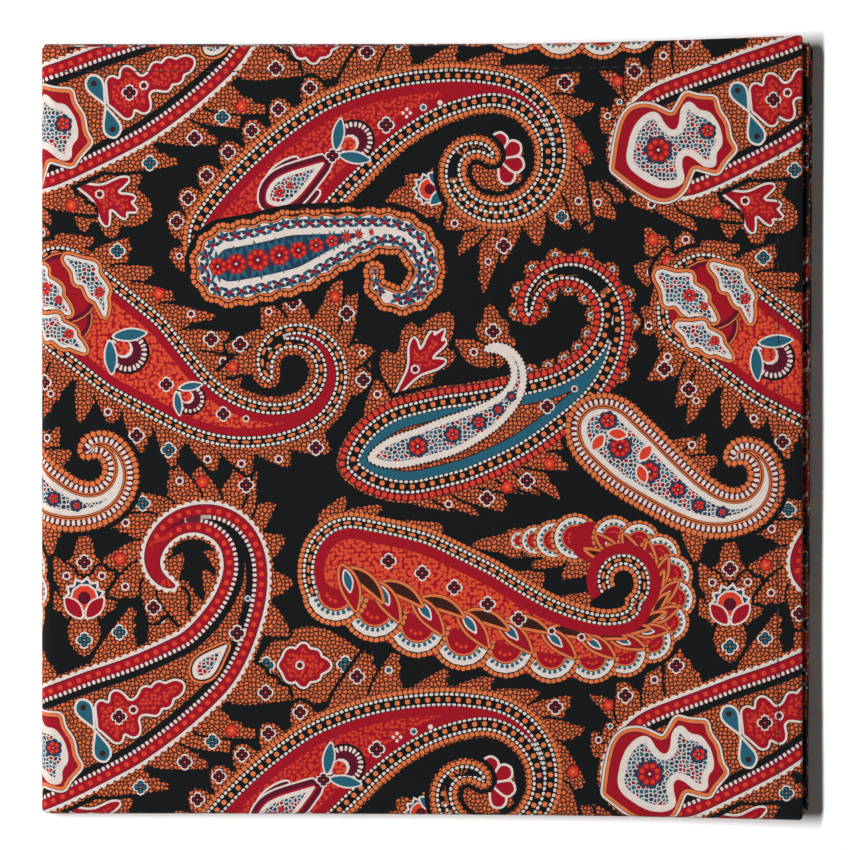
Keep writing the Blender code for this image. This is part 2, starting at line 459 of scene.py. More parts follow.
class Print:
    """The print's shapes in the order in which they are laid down."""

    def __init__(self) -> None:
        self.shapes: list[Shape] = []

    def fill(self, outline: Path, ink: Ink, guide: Guide | None = None) -> None:
        """Add one shape."""
        if len(outline) > 2:
            self.shapes.append(Shape(ink, uncrossed(np.asarray(outline, complex)), guide))

    def band(self, outline: Path, ink: Ink, grow: float = 0.0) -> None:
        """Fill an outline, moved outwards by grow."""
        self.fill(thinned(offset(outline, grow) if grow else outline), ink)

    def rows(self, outline: Path, *rows: tuple) -> None:
        """Nested bands from the outside in.

        Args:
            outline: the boteh's closed outline.
            rows: ink, distance of the band's outer edge outside the outline, and for a small
                pattern also the band's width and the pattern's pitch.
        """
        for ink, grow, *pattern in rows:
            edge = offset(outline, grow)
            if len(edge) < 8:
                return
            guide = None
            if pattern:
                width, pitch = pattern
                middle = offset(outline, grow - width / 2)
                guide = Guide(middle, True, width / 2, pitch) if len(middle) > 8 else None
            self.fill(thinned(edge), ink, guide)

    def strip(self, path: Path, ink: Ink, width: float, pitch: float = 1.0) -> None:
        """A strip of a width along an open line."""
        points, along = evenly(path, 1.2, closed=False)
        side = 1j * along * width / 2
        self.fill(np.concatenate([points - side, (points + side)[::-1]]), ink,
                  Guide(points, False, width / 2, pitch))

    def blob(self, outline: Path, *rows: tuple) -> None:
        """A small shape in nested inks: rows of ink and distance outside the outline."""
        fine = evenly(outline, FINE_STEP)[0]
        for ink, grow in rows:
            self.band(fine, ink, grow)

    def flower(self, kind: Flower, place: complex, size: float = 1.7) -> None:
        """One small flower; its parts are shares of its size."""
        if kind in (FOUR, BLUE):
            self.fill(quatrefoil(place, size * 1.08), CREAM)
            self.fill(quatrefoil(place, size * 0.86), BLACK)
            for k in range(4):
                spot = place + size * 0.46 * toward(90 * k)
                self.fill(disc(spot, size * 0.3, 5), MAROON if kind == FOUR else TEAL)
            self.fill(disc(place, size * 0.14, 4), AMBER)
        elif kind in (RING, EYE):
            self.fill(disc(place, size * 0.56, 7), CREAM)
            self.fill(disc(place, size * 0.38, 5), MAROON if kind == RING else TEAL)
        elif kind == RED_ONE:
            self.fill(petalled(place, size * 0.95, 5, 0.26), CRIMSON)
            self.fill(petalled(place, size * 0.72, 5, 0.26), SCARLET)
            self.fill(disc(place, size * 0.24, 5), AMBER)

    def rosette(self, centre: complex, size: float) -> None:
        """A round flower of many petals."""
        petals = min(max(round(size * 3.4), 5), 8)
        self.fill(petalled(centre, size, petals, 0.16), CRIMSON)
        for k in range(petals):
            spot = centre + size * 0.66 * toward(360 * (k + 0.5) / petals)
            self.fill(disc(spot, size * 1.6 / petals, 5), SCARLET)
        self.fill(disc(centre, size * 0.34, 5), MAROON)
        self.fill(disc(centre, size * 0.14, 4), CREAM)

    def leaves(self, leaves: list[tuple[Path, Flower, complex, float]]) -> None:
        """Orange leaves with one black edge round the lot, and their flowers.

        Args:
            leaves: rows of the leaf's outline, and its flower's kind, place and size.
        """
        fine = [evenly(outline, LEAF_STEP)[0] for outline, *_ in leaves]
        for edge in fine:
            self.band(edge, BLACK, BUNCH_GAP)
        for edge, (outline, *_) in zip(fine, leaves):
            self.band(edge, BLACK, LEAF_GAP)
            self.fill(ragged(outline), ORANGE)
        for _, kind, place, size in leaves:
            self.flower(kind, place, size)

    def fringe(self, body: Boteh, side: int, rows: tuple[Leaf, ...], grow: float = 0.9) -> None:
        """The leaves along one side of a boteh.

        Args:
            body: the boteh.
            side: 1 for its left side and -1 for its right one.
            rows: the leaves.
            grow: how far outside the boteh their roots start.
        """
        bunch = []
        for row in rows:
            place, heading = body.spot(row.share, side)
            out, along = side * 1j * toward(heading), toward(heading)
            along_root, reach = np.array(row.profile).T / 100
            swept = math.tan(math.radians(row.sweep)) * row.reach
            outline = (place + out * (reach * row.reach + grow)
                       + along * (along_root * row.root * 0.84 + swept * np.clip(reach, 0, 1) ** 1.3))
            outline = rounded(outline if side < 0 else outline[::-1], 1)
            middle = place + out * (row.reach * 0.5 + grow) + along * swept * 0.42
            bunch.append((outline, row.flower, middle, min(1.7, row.root * 0.25)))
        self.leaves(bunch)

    def bush(self, *rows: tuple) -> None:
        """Leaves that grow from points, from rows with the fields of Spray."""
        sprays = [Spray(*row) for row in rows]
        self.leaves([(spray.outline(), spray.flower, spray.spot(), 1.7) for spray in sprays])

    def drop(self, base: complex, direction: float, length: float, width: float,
             ink: Ink = TEAL) -> None:
        """A drop with a white edge."""
        self.blob(shaped(DROP, base, direction, length, width), (CREAM, 0.0), (ink, -0.5))

    def petal(self, base: complex, direction: float, length: float, width: float, ink: Ink) -> None:
        """A pointed petal with a white edge."""
        self.fill(shaped(PETAL, base, direction, length, width), CREAM)
        self.fill(shaped(PETAL, base + 0.6 * toward(direction), direction, length - 1.1, width - 0.8), ink)

    def lily(self, profile: tuple, base: complex, direction: float, length: float, width: float) -> None:
        """A red flower with a white edge and a ring in its throat."""
        outline = shaped(profile, base, direction, length, width)
        self.blob(outline, (UMBER, 0.75), (CREAM, 0.5), (CRIMSON, 0.0), (FLECKED, -0.9))
        self.flower(RING, base + toward(direction) * length * 0.42, 1.9)

    def lotus(self, base: complex, direction: float, size: float, petal: Ink) -> None:
        """Two petals under a crown of small scallops; all parts are shares of the size."""
        crown = base + toward(direction) * size * 0.6
        #                    radius petals ink
        for radius, petals, ink in ((0.88, 11, CREAM), (0.74, 11, NAVY), (0.58, 0, CREAM),
                                    (0.5, 0, SCARLET), (0.26, 0, MAROON)):
            reach = size * radius
            self.fill(petalled(crown, reach, petals, 0.22, 2) if petals else disc(crown, reach, 10), ink)
        for turn in (40, -40):
            self.petal(base - toward(direction) * size * 0.3, direction + turn, size * 1.3, size * 0.7,
                       petal)

    def bud(self, centre: complex, direction: float, size: float = 4.0) -> None:
        """A flecked bud with a toothed white edge, between two blue petals; all are shares of its size."""
        way = toward(direction)
        crown, radius = centre + size * 0.95 * way, size * 0.86
        teeth = Guide(disc(crown, radius * 0.86, 24), True, radius * 0.14, 0.95)
        discs = (
            # back radius sides ink guide
            (0, 1.12, 18, BLACK, None), (0, 1, 18, WHITE_COMB, teeth), (0, 0.72, 14, MAROON, None),
            (0.2, 0.46, 10, CREAM, None), (0.3, 0.4, 10, EMBERS, None))
        for back, share, sides, ink, guide in discs:
            self.fill(disc(crown - back * size * way, radius * share, sides), ink, guide)
        for turn in (46, -46):
            self.petal(centre - 0.4 * way, direction + turn, size * 1.75, size * 0.66, TEAL)

    def garden(self, outline: Path, flowers: list[tuple[complex, float]], edge: float = 0.9) -> None:
        """A field of small blue leaves round red flowers, within a white edge."""
        self.band(outline, CREAM)
        self.band(outline, GARDEN, -edge)
        for place, size in flowers:
            self.fill(petalled(place, size + 0.7, 7, 0.2), NAVY)
            self.rosette(place, size)

    def beaded(self, outline: Path, dashes: bool = False) -> None:
        """A black border with two rows of white beads, and orange dots or dashes between."""
        middle = (AMBER_DASHES, -0.8, 1.0, 2.5) if dashes else (AMBER_DOTS, -0.8, 1.5, 2.2)
        last = (WHITE_BEADS, -1.8, 0.75, 1.1) if dashes else (WHITE_BEADS, -2.3, 0.7, 1.1)
        self.rows(outline, (WHITE_BEADS, 0.0, 0.8, 1.1), middle, last)

    def ground(self, body: Boteh, grow: float) -> None:
        """The black gap and the orange edge round a boteh."""
        self.band(body.outline(), BLACK, grow + BOTEH_GAP)
        self.fill(ragged(body.outline(grow)), ORANGE)


class Motif:
    """One boteh of the print with its leaves. Subclasses hold its sizes and draw it."""

    body: Boteh
    edge: float = 1.2  # width of the orange edge
    left: tuple[Leaf, ...] = ()
    right: tuple[Leaf, ...] = ()

    def foliage(self, art: Print) -> None:
        """Draw the orange leaves and edge that the boteh lies on."""
        art.ground(self.body, self.edge)
        art.fringe(self.body, 1, self.left)
        art.fringe(self.body, -1, self.right)
        art.fill(ragged(self.body.outline(self.edge)), ORANGE)

    def draw(self, art: Print) -> None:
        """Draw the boteh itself, over all the leaves."""
        raise NotImplementedError


class SpiralBoteh(Motif):
    """The largest one, red with a long spiral tail."""

    #   run  turn  half
    body = boteh(38 + 113j, 62, (
        (12, -4, 12.5), (31, -22, 9.9), (22, -22, 5.6), (12, -16, 3.8), (23, -92, 2.7), (20, -94, 2.2),
        (13, -80, 1.8), (7, -80, 1.4), (6, -80, 1)), head=12)
    #   share  root  reach  sweep  flower
    left = leaves(
        *scallops(6.4, 4.4, 8, FOUR, 0.055, 0.09, 0.125, 0.165, 0.205, 0.247, 0.295),
        (0.018, 5.5, 4.4, 0, RING, SCALLOP), (0.36, 14, 9, 40, FOUR), (0.4, 8, 9, 35, EYE),
        (0.455, 9, 3.6, 55), (0.51, 9, 3.4, 60), (0.56, 9, 3.8, 55), (0.6, 8, 8.5, 10, FOUR),
        (0.62, 7, 7, 30), (0.66, 12, 4.5, 45, RED_ONE), (0.71, 13, 8.5, 35, RING), (0.74, 6, 7, 10, BLUE),
        (0.765, 6, 6, 20), (0.8, 8, 8, 10, FOUR), (0.815, 6, 15, 5, RING), (0.83, 5, 8, 20),
        (0.85, 8, 4.5, 20, RING))

    def draw(self, art: Print) -> None:
        """Beaded border, flecked core, and a chain of small flowers up its middle."""
        outline = self.body.outline()
        art.rows(outline, (AMBER_BEADS, 1.1, 1.1, 1.15))
        art.beaded(outline)
        art.rows(outline, (CRIMSON, -3), (FLECKED, -5))
        art.strip(self.body.line(0, 0.62, 0.9), WHITE_BEADS, 0.8, 1.1)
        drop = shaped(DROP, 48.6 + 131.9j, 35, 15.6, 6.4)
        for turn, bend in ((60, -34), (8, 40)):
            horn = shaped(PETAL, 47.4 + 130.9j, turn, 14, 4.4, bend)
            art.blob(horn, (CREAM, 0.45), (MAROON, 0))
        art.blob(drop, (CREAM, 2), (MAROON, 1.6), (CRIMSON, 0.5), (CREAM, 0),
                 (GARDEN, -0.9))
        for k in range(2):
            art.rosette(51.4 + 134j + k * 2.7 * toward(35), 1.1 - 0.3 * k)
        art.bud(63.6 + 142.6j, 36, 4.8)
        art.flower(FOUR, 62.7 + 142j, 1.6)
        art.flower(FOUR, 74.2 + 148.6j, 1.8)
        for turn in range(4):
            art.fill(disc(78.6 + 151.2j + 0.8 * toward(90 * turn), 0.42, 5), CREAM)
        art.flower(EYE, 82.2 + 152.4j, 1.5)
        art.fill(disc(85.8 + 153.4j, 0.6, 6), CREAM)


class PaleBoteh(Motif):
    """The white one with the scalloped edge, over the spiral one's head."""

    #   run  turn  half
    body = boteh(31.9 + 117.5j, 4, (
        (24, 12, 9.3), (11, -2, 6.6), (7, -6, 5.2), (15, -96, 4.4), (10, -95, 3.4), (7, -75, 2.6),
        (5, -60, 1.8)), head=9)
    edge = -0.4

    def draw(self, art: Print) -> None:
        """Scalloped orange and flowered borders round a chain of rosettes."""
        outline = self.body.outline()
        wavy = evenly(waved(offset(outline, -0.9), 4.6, 0.8, 6), 0.4)[0]
        art.band(outline, BLACK, 1)
        art.rows(wavy, (AMBER_BEADS, 0.3, 1.2, 1.15), (UMBER, -0.9), (AMBER, -1.1),
                 (UMBER, -1.5), (CREAM, -1.65))
        for place, along in zip(*evenly(offset(outline, -3.4), 2.7)):
            self.sprig(art, place, math.degrees(np.angle(-1j * along)), 1.5)
        for share, size in ((0.9, 1.2), (0.93, 1.1), (0.957, 0.8)):
            place, heading = self.body.spot(share)
            self.sprig(art, place, heading - 90, size)
        art.rows(outline, (CREAM, -4.7), (NAVY, -5.7))
        #            share  size
        for share, size in ((0.08, 2.1), (0.132, 2.4), (0.19, 2.6), (0.25, 2.4), (0.305, 2), (0.355, 1.7),
                            (0.4, 1.4), (0.44, 1.1), (0.475, 0.9), (0.51, 0.6)):
            place, heading = self.body.spot(share)
            for turn in (60, 90, 120, -60, -90, -120):
                art.fill(shaped(OVAL, place, heading + turn, size * 1.75, size * 0.5), TEAL)
            art.rosette(place, size)

    @staticmethod
    def sprig(art: Print, place: complex, out: float, size: float) -> None:
        """Draw one of the little blue sprigs of its border."""
        #          turn  ink
        for turn, ink in ((-55, NAVY), (0, TEAL), (55, NAVY), (122, TEAL),
                          (-122, NAVY)):
            art.fill(shaped(OVAL, place + size / 6 * toward(out + turn), out + turn, size, size * 0.63),
                     ink)
        art.fill(disc(place, size * 0.35, 6), CRIMSON)


class RoseBoteh(Motif):
    """The red one that is cut by the left edge of the folded square."""

    #   run  turn  half
    body = boteh(-5 + 116.8j, -27, (
        (8, -8, 10.8), (23, -5, 10.6), (14, 2, 7.6), (18.5, 38, 4.8), (8, 22, 4), (8, 42, 3.7),
        (6, 36, 3.4), (13, 95, 2.6), (12, 115, 1.5)), head=9)
    #   share  root  reach  sweep  flower
    left = leaves(
        (0, 7, 6, -20, RED_ONE), (0.05, 7, 4, 50), (0.13, 9, 8, 5, BLUE), (0.17, 8, 6, 35),
        (0.225, 10, 4.5, 45, RED_ONE), (0.28, 8, 7, 50, RING), (0.36, 11, 7.5, 30, FOUR),
        (0.4, 8, 5, 50, RING), (0.46, 8, 2.5, 50))
    right = leaves(
        (0.02, 7, 5, 0, RING), (0.09, 7, 4, 20, RING), (0.115, 8, 9, -15, FOUR), (0.17, 9, 10, 0, FOUR),
        (0.185, 6, 12, 15, RING), (0.25, 6, 7.5, 25), (0.3, 8, 3.5, 40, RING), (0.36, 9, 6.5, 40, FOUR),
        (0.42, 8, 6, 40, BLUE), (0.48, 8, 4.5, 40, RING), (0.53, 8, 4.5, 40, RING),
        (0.585, 8, 4, 40, RING), (0.64, 9, 4.5, 40, FOUR), (0.75, 8, 5, 0, FOUR), (0.78, 6, 6, 0, RING),
        (0.815, 9, 10, 15, FOUR), (0.83, 6, 13, 20, RED_ONE), (0.87, 7, 7, 15, FOUR),
        (0.9, 6, 6, 0, RING), (0.935, 8, 6, 30, FOUR), (0.955, 6, 8, 30, RED_ONE))

    def draw(self, art: Print) -> None:
        """Dashed border, flowered crescents round the head, and two buds up the middle."""
        body, outline = self.body, self.body.outline()
        art.beaded(outline, dashes=True)
        art.rows(outline, (CRIMSON, -2.6), (EMBERS, -4.3))
        for centre, radius in ((5.2 + 107j, 5.6), (5 + 113.5j, 7.4)):
            for grow, ink in ((0.5, UMBER), (0.3, AMBER), (0, MAROON), (-0.9, CRIMSON)):
                art.fill(disc(centre, radius + grow, 26), ink)
        crescents = (
            # base heading length width bend
            (-6.5 + 118.6j, -40, 17.5, 9), (5 + 120.2j, -45, 17, 6.4, -60),
            (-2.5 + 107.2j, -28, 15, 6.6, -20))
        for row in crescents:
            leaf = shaped(LOBED, *row)
            art.blob(leaf, (UMBER, 1), (AMBER, 0.8), (UMBER, 0.2), (CREAM, 0),
                     (GARDEN, -0.7))
        for place, size in ((0.6 + 113.4j, 1.5), (3.8 + 111j, 1), (12.6 + 112.6j, 1.2),
                            (6 + 103.6j, 1.2)):
            art.rosette(place, size)
        art.bud(15 + 102.7j, -40, 5)
        art.flower(FOUR, 27 + 92.7j, 1.6)
        art.bud(29.4 + 91.5j, -36, 3.6)
        art.flower(FOUR, 39.3 + 86.3j, 1.6)
        art.flower(RING, 44.2 + 85.3j, 1.4)


class TealBoteh(Motif):
    """The one with the teal band and a white boteh inside."""

    #   run  turn  half
    body = boteh(65.6 + 75.1j, 15, (
        (24, -2, 9.8), (14, 9, 7.9), (10.5, 6, 5.6), (8, 18, 4.3), (7.5, 22, 3.1), (7, 24, 2.5),
        (12, 68, 2), (9, 60, 1.5), (9, 62, 1)), head=16, point=1.4)
    inner = boteh(70.6 + 76.6j, 13, (
        (9.5, 2, 3.5), (8.5, 6, 4), (8.5, 8, 3.2), (7.2, 20, 2.1), (5, 36, 1.5), (6, 56, 1.2),
        (5.5, 66, 0.8)), head=9, point=1.4)
    edge = 1.7
    #   share  root  reach  sweep  flower
    left = leaves(
        (0.1, 7, 7, 10, RING),
        *scallops(4.9, 2.5, 0, EYE, 0.45, 0.5, 0.55, 0.6, 0.65, 0.71, 0.78, 0.85, 0.92, 0.98))
    right = leaves(
        (0.17, 12, 5.5, 50, RING), (0.19, 6, 7, 45), (0.255, 12, 7.5, 35, FOUR), (0.285, 8, 6, 55, RED_ONE),
        (0.345, 12, 8, 20, FOUR), (0.36, 6, 11, 25), (0.385, 9, 6, 45, RED_ONE), (0.43, 9, 3, 50),
        *scallops(4.9, 2.5, 0, EYE, 0.6, 0.645, 0.69, 0.735, 0.78, 0.825, 0.87, 0.91, 0.95, 0.985))

    def draw(self, art: Print) -> None:
        """Red and beaded borders, a teal band, and the white boteh with its flowers."""
        body, outline = self.body, self.body.outline()
        art.rows(outline, (SCARLET_BEADS, 1.5, 1.5, 1.5))
        art.beaded(outline)
        art.rows(outline, (TEAL, -3), (UMBER, -4.85), (ORANGE, -5.1))
        art.flower(FOUR, body.spot(0.45, -0.05)[0], 1.6)
        art.flower(RING, body.spot(0.52)[0], 1.4)
        edge = self.inner.outline()
        art.fill(waved(offset(edge, 0.3), 0.9, 0.4, 2), UMBER)
        art.fill(waved(edge, 0.9, 0.35, 2), CREAM)
        #        share size
        chain = ((0.22, 1.9), (0.38, 1.4), (0.5, 1.2), (0.6, 0.8), (0.68, 0.6))
        art.garden(offset(edge, -0.6), [(self.inner.spot(share)[0], size) for share, size in chain], 0.6)


class CombBoteh(Motif):
    """The white one with a toothed border."""

    #   run  turn  half
    body = boteh(116.7 + 88.2j, -52, (
        (10, 7, 7.5), (6, 5, 7.5), (13, 5, 5.8), (6, 12, 5.1), (7.5, 35, 3.8), (6.5, 51, 3.1),
        (6, 49, 2.4), (3.5, 32, 2.1), (3, 51, 1.7), (3, 55, 1.2)), head=9)
    edge = 1.2
    #   share  root  reach  sweep  flower
    left = leaves((0.37, 8, 5.5, 15, RING), (0.41, 5, 7, -10), (0.44, 6, 4.5, 30))
    right = leaves((0.54, 6, 6, 25))

    def draw(self, art: Print) -> None:
        """Beaded and toothed borders round a chain of flowers."""
        body, outline = self.body, self.body.outline()
        art.rows(outline, (AMBER_BEADS, 1.3, 1.3, 1.25), (WHITE_COMB, 0, 1.3, 1.15),
                 (AMBER, -1.3), (UMBER, -1.55), (AMBER, -1.8), (UMBER, -2.05),
                 (CREAM, -2.2))
        #        share side size
        chain = ((0.1, 0.3, 1.6), (0.19, 0, 2.3), (0.32, 0, 2.1), (0.43, 0.1, 1.4), (0.52, 0, 1.1),
                 (0.6, 0, 0.8))
        art.garden(offset(outline, -2.2), [(body.spot(share, side)[0], size) for share, side,
                                           size in chain], 1.2)
        for share, turn in ((0.12, -20), (0.27, 30)):
            place, heading = body.spot(share)
            for swing in (60, -60):
                art.petal(place, heading + turn + swing, 5.2, 3, SCARLET)


class FanBoteh(Motif):
    """The red one edged with a row of fans."""

    #   run  turn  half
    body = boteh(56.5 + 54.8j, -10, (
        (10, -4, 11.5), (14, -6, 12.7), (16, -2, 11.3), (13.5, 6, 8.6), (12, 12, 7), (9, 26, 6.2),
        (7, 42, 6.2), (6, 30, 6.2), (6, 34, 6), (7, 34, 5.2), (7, 14, 4.2)), head=10)
    edge = 1.0
    #   share  root  reach  sweep  flower
    left = leaves(
        (0.038, 6, 6, 20), (0.09, 7, 3.5, 50), (0.2, 10, 2.6, 60), (0.43, 9, 3.2, 50),
        (0.546, 9, 3.2, 50))
    hook = 125.5 + 50.5j  # middle of the round hollow that the border ends round

    def foliage(self, art: Print) -> None:
        """The black gap, and leaves on the inner side only."""
        art.band(self.body.outline(), BLACK, 1.8)
        art.fringe(self.body, 1, self.left, 0.3)
        art.bush((119 + 59j, 182, 27, 8, LOBED), (118 + 59j, 205, 14, 5, OVAL),
                 (121 + 57j, 215, 11, 5, OVAL), (112 + 59j, 200, 9, 4, OVAL))

    def fan(self, art: Print, centre: complex, heading: float, size: float) -> None:
        """Draw one fan: a crimson heart, and a white rim with teal teeth; all are shares of its size."""
        #      radius ink  band
        rings = ((1.16, AMBER_BEADS, 0.18), (0.98, UMBER, 0), (0.95, CREAM, 0),
                 (0.8, TEAL_TEETH, 0.16), (0.64, UMBER, 0), (0.61, AMBER, 0),
                 (0.55, CRIMSON, 0))
        for radius, ink, band in rings:
            guide = None
            if band:
                guide = Guide(disc(centre, size * (radius - band / 2), 24), True, size * band / 2, 1.2)
            art.fill(disc(centre, size * radius, 16), ink, guide)
        for turn in (-125, -90, -55):
            art.fill(disc(centre + toward(heading + turn) * size * 0.3, size * 0.08, 4), SCARLET)

    def fans(self) -> list[tuple[complex, float, float]]:
        """Middle, heading and size of each fan, from the head to the tail along the right edge."""
        edge = self.body.line(-1, 0.057, 0.97)
        reach = running(np.abs(np.diff(edge)))
        at, fans = 0, []
        while at < reach[-1]:
            k = int(np.searchsorted(reach, at))
            share = at / reach[-1]
            size = float(np.interp(share, (0, 0.38, 0.57, 0.7, 1), (6.4, 6, 4.8, 3.9, 4.2)))
            heading = math.degrees(np.angle(edge[min(k + 4, len(edge) - 1)] - edge[max(k - 4, 0)]))
            fans.append((edge[k] + 1j * toward(heading) * size * 0.88, heading, size))
            at += size * 1.66
        return fans

    def blades(self, art: Print, centre: complex, heading: float, size: float) -> None:
        """Draw the lens, the cord and the blue leaf that lie over one fan."""
        start, way = centre + size * 0.95 * toward(heading + 118), size * toward(heading)
        lens = shaped(OVAL, start + 0.2 * way, heading + 4, size * 1.9, size * 0.5, -50)
        art.blob(lens, (UMBER, 0.4), (AMBER, 0.25), (UMBER, -0.35))
        cord = shaped(OVAL, start, heading - 30, size * 1.75, size * 0.62, -22)
        art.blob(cord, (UMBER, 0.55), (AMBER, 0.4), (UMBER, -0.15), (CRIMSON, -0.3))
        leaf = shaped(PETAL, start + 0.15 * way, heading - 36, size * 0.95, size * 0.4, -14)
        art.blob(leaf, (CREAM, 0), (TEAL, -0.35))

    def border(self, art: Print) -> None:
        """Draw the beaded border along the left edge and round the hook at the tail."""
        crest = np.concatenate([self.body.line(-1, 0, 0.03)[::-1], self.body.line(1, 0, 0.955)])
        turn = np.radians(np.linspace(-78, 215, 60))
        hook = self.hook + np.interp(turn, (turn[0], 0, turn[-1]), (4.7, 3.3, 3)) * np.exp(1j * turn)
        crest = crest[: int(np.abs(crest - hook[0]).argmin())]
        crest = evenly(np.concatenate([crest, hook]), 0.5, closed=False)[0]
        art.fill(disc(self.hook, 3.6, 14), BLACK)
        art.strip(shifted(crest, -3.7), CRIMSON, 2.2)
        strips = (
            # distance ink width pitch
            (0.55, AMBER_BEADS, 1.1, 1.15), (-0.4, WHITE_BEADS, 0.8, 1.1),
            (-1.3, AMBER_DASHES, 1, 2.4), (-2.15, WHITE_BEADS, 0.75, 1.1))
        for distance, ink, width, pitch in strips:
            art.strip(shifted(crest, distance), ink, width, pitch)

    def draw(self, art: Print) -> None:
        """Flecked field with small flowers, fans outside it and a beaded border inside."""
        body, fans = self.body, self.fans()
        art.band(body.outline(), CRIMSON)
        #                     centre  size
        for centre, size in ((103.2 + 59j, 1.9), (106.6 + 59j, 3), (110.6 + 59.1j, 3.9),
                             (115.2 + 59.6j, 4.7)):
            self.fan(art, centre, 270, size)
        art.fill(disc(118.6 + 58.8j, 4.4, 14), CRIMSON)
        for centre, heading, size in reversed(fans):
            self.fan(art, centre, heading, size)
        upper, lower = body.line(0.92, 0.025, 0.79), body.line(-0.4, 0.05, 0.79)
        field_edge = evenly(np.concatenate([upper, lower[::-1]]), LEAF_STEP)[0]
        art.fill(thinned(field_edge), EMBERS)
        for centre, heading, size in reversed(fans):
            self.blades(art, centre, heading, size)
        self.border(art)
        #                          share side  kind
        for share, side, kind in ((0.165, 0.34, FOUR), (0.235, 0.32, FOUR), (0.305, 0.3, FOUR),
                                  (0.38, 0.26, FOUR), (0.45, 0.22, FOUR), (0.52, 0.2, RING),
                                  (0.584, 0.2, RING)):
            art.flower(kind, body.spot(share, side)[0])


class GoldBoteh(Motif):
    """The long one with the ribbon border and the heart-shaped flower head."""

    #   run  turn  half
    body = boteh(-17.6 + 6.5j, 24, (
        (19, -2, 12.8), (17, 3, 11.8), (20, 11, 8.8), (7, 19, 7.6), (9, 11, 6.1), (8.3, 19, 5.1),
        (6.3, 26, 4.7), (7, 44, 4), (6, 32, 3.2), (7, 40, 2.6), (5, 28, 2.2), (4, 42, 1.8),
        (6, 60, 1.2)), head=16, point=1.2)
    edge = 0.9
    #   share  root  reach  sweep  flower
    left = leaves(
        (0.03, 6, 5, -10, RING), (0.05, 5, 4, 20, EYE), (0.085, 6, 8, -35, RED_ONE), (0.1, 8, 8, 0, FOUR),
        (0.15, 8, 8.5, 10, RING), (0.2, 9, 11, 5, FOUR), (0.345, 12, 8, 50, BLUE),
        (0.46, 10, 8, 30, BLUE), (0.545, 8, 6, 45, EYE), (0.62, 6, 3, 50), (0.69, 5, 2.5, 50),
        (0.93, 5, 3, 0), (0.97, 5, 5, 0))
    right = leaves(
        (0.03, 7, 5, 20, RING), (0.06, 6, 9, 25), (0.11, 9, 8.5, 45, RED_ONE), (0.255, 13, 6, 60, BLUE),
        (0.345, 10, 7.5, 45, FOUR), (0.41, 10, 8.5, 25, BLUE), (0.43, 8, 10, 40, RED_ONE),
        (0.5, 11, 11, 25, FOUR), (0.6, 7, 6, -15), (0.65, 6, 4.5, 10), (0.7, 6, 4, 10), (0.735, 6, 6, 0),
        (0.76, 9, 10, 5, FOUR), (0.77, 6, 14, 0, RED_ONE), (0.8, 8, 7, 15, RED_ONE),
        (0.825, 8, 9, 5, RING), (0.865, 10, 8.5, 10, BLUE), (0.885, 7, 9, 30, RING),
        (0.925, 8, 8, 10, RED_ONE), (0.95, 8, 9, 0, RING), (0.975, 9, 7, 20, FOUR), (0.99, 7, 8, 40))

    def draw(self, art: Print) -> None:
        """Zigzag, dotted ribbon and toothed borders, then a flower, two drops and the heart."""
        outline = self.body.outline()
        art.fill(waved(offset(outline, 0.15), 1.7, 0.55, 3), CREAM)
        art.rows(outline, (MAROON, -0.3), (DOTTED_CRIMSON, -0.55, 2, 2.2),
                 (WHITE_COMB, -2.6, 0.9, 1.1), (BLACK, -3.5), (ORANGE, -4.9))
        art.lily(TULIP, 12.2 + 18.6j, 27, 20.5, 10)
        art.flower(FOUR, 16.8 + 21j, 1.7)
        for turn in (118, -72):
            art.drop(11.6 + 18.2j + 7.6 * toward(turn), turn + 180, 8, 4.4)
            art.fill(disc(11.6 + 18.2j + 5.4 * toward(turn), 0.7, 6), UMBER)
        drop = shaped(DROP, 33 + 29.4j, 45, 10.5, 5)
        art.blob(drop, (UMBER, 1), (AMBER, 0.85), (UMBER, 0.4), (CREAM, 0),
                 (GARDEN, -0.9))
        art.flower(FOUR, 42.3 + 39j, 1.8)
        art.flower(EYE, 44.6 + 46.5j, 1.3)
        heart = shaped(HEART, -18.2 + 5.9j, 22, 26.4, 22.5)
        art.blob(heart, (UMBER, 0.75), (CREAM, 0.55), (UMBER, 0.1), (AMBER, 0),
                 (MAROON, -0.7), (CRIMSON, -0.9))
        inside = evenly(shaped(CURLED, -14.8 + 7.1j, 22, 21.8, 17.4), 0.4)[0]
        art.garden(inside, [(-8 + 10.2j, 2.7), (2.6 + 14.3j, 1.4)], 1.5)


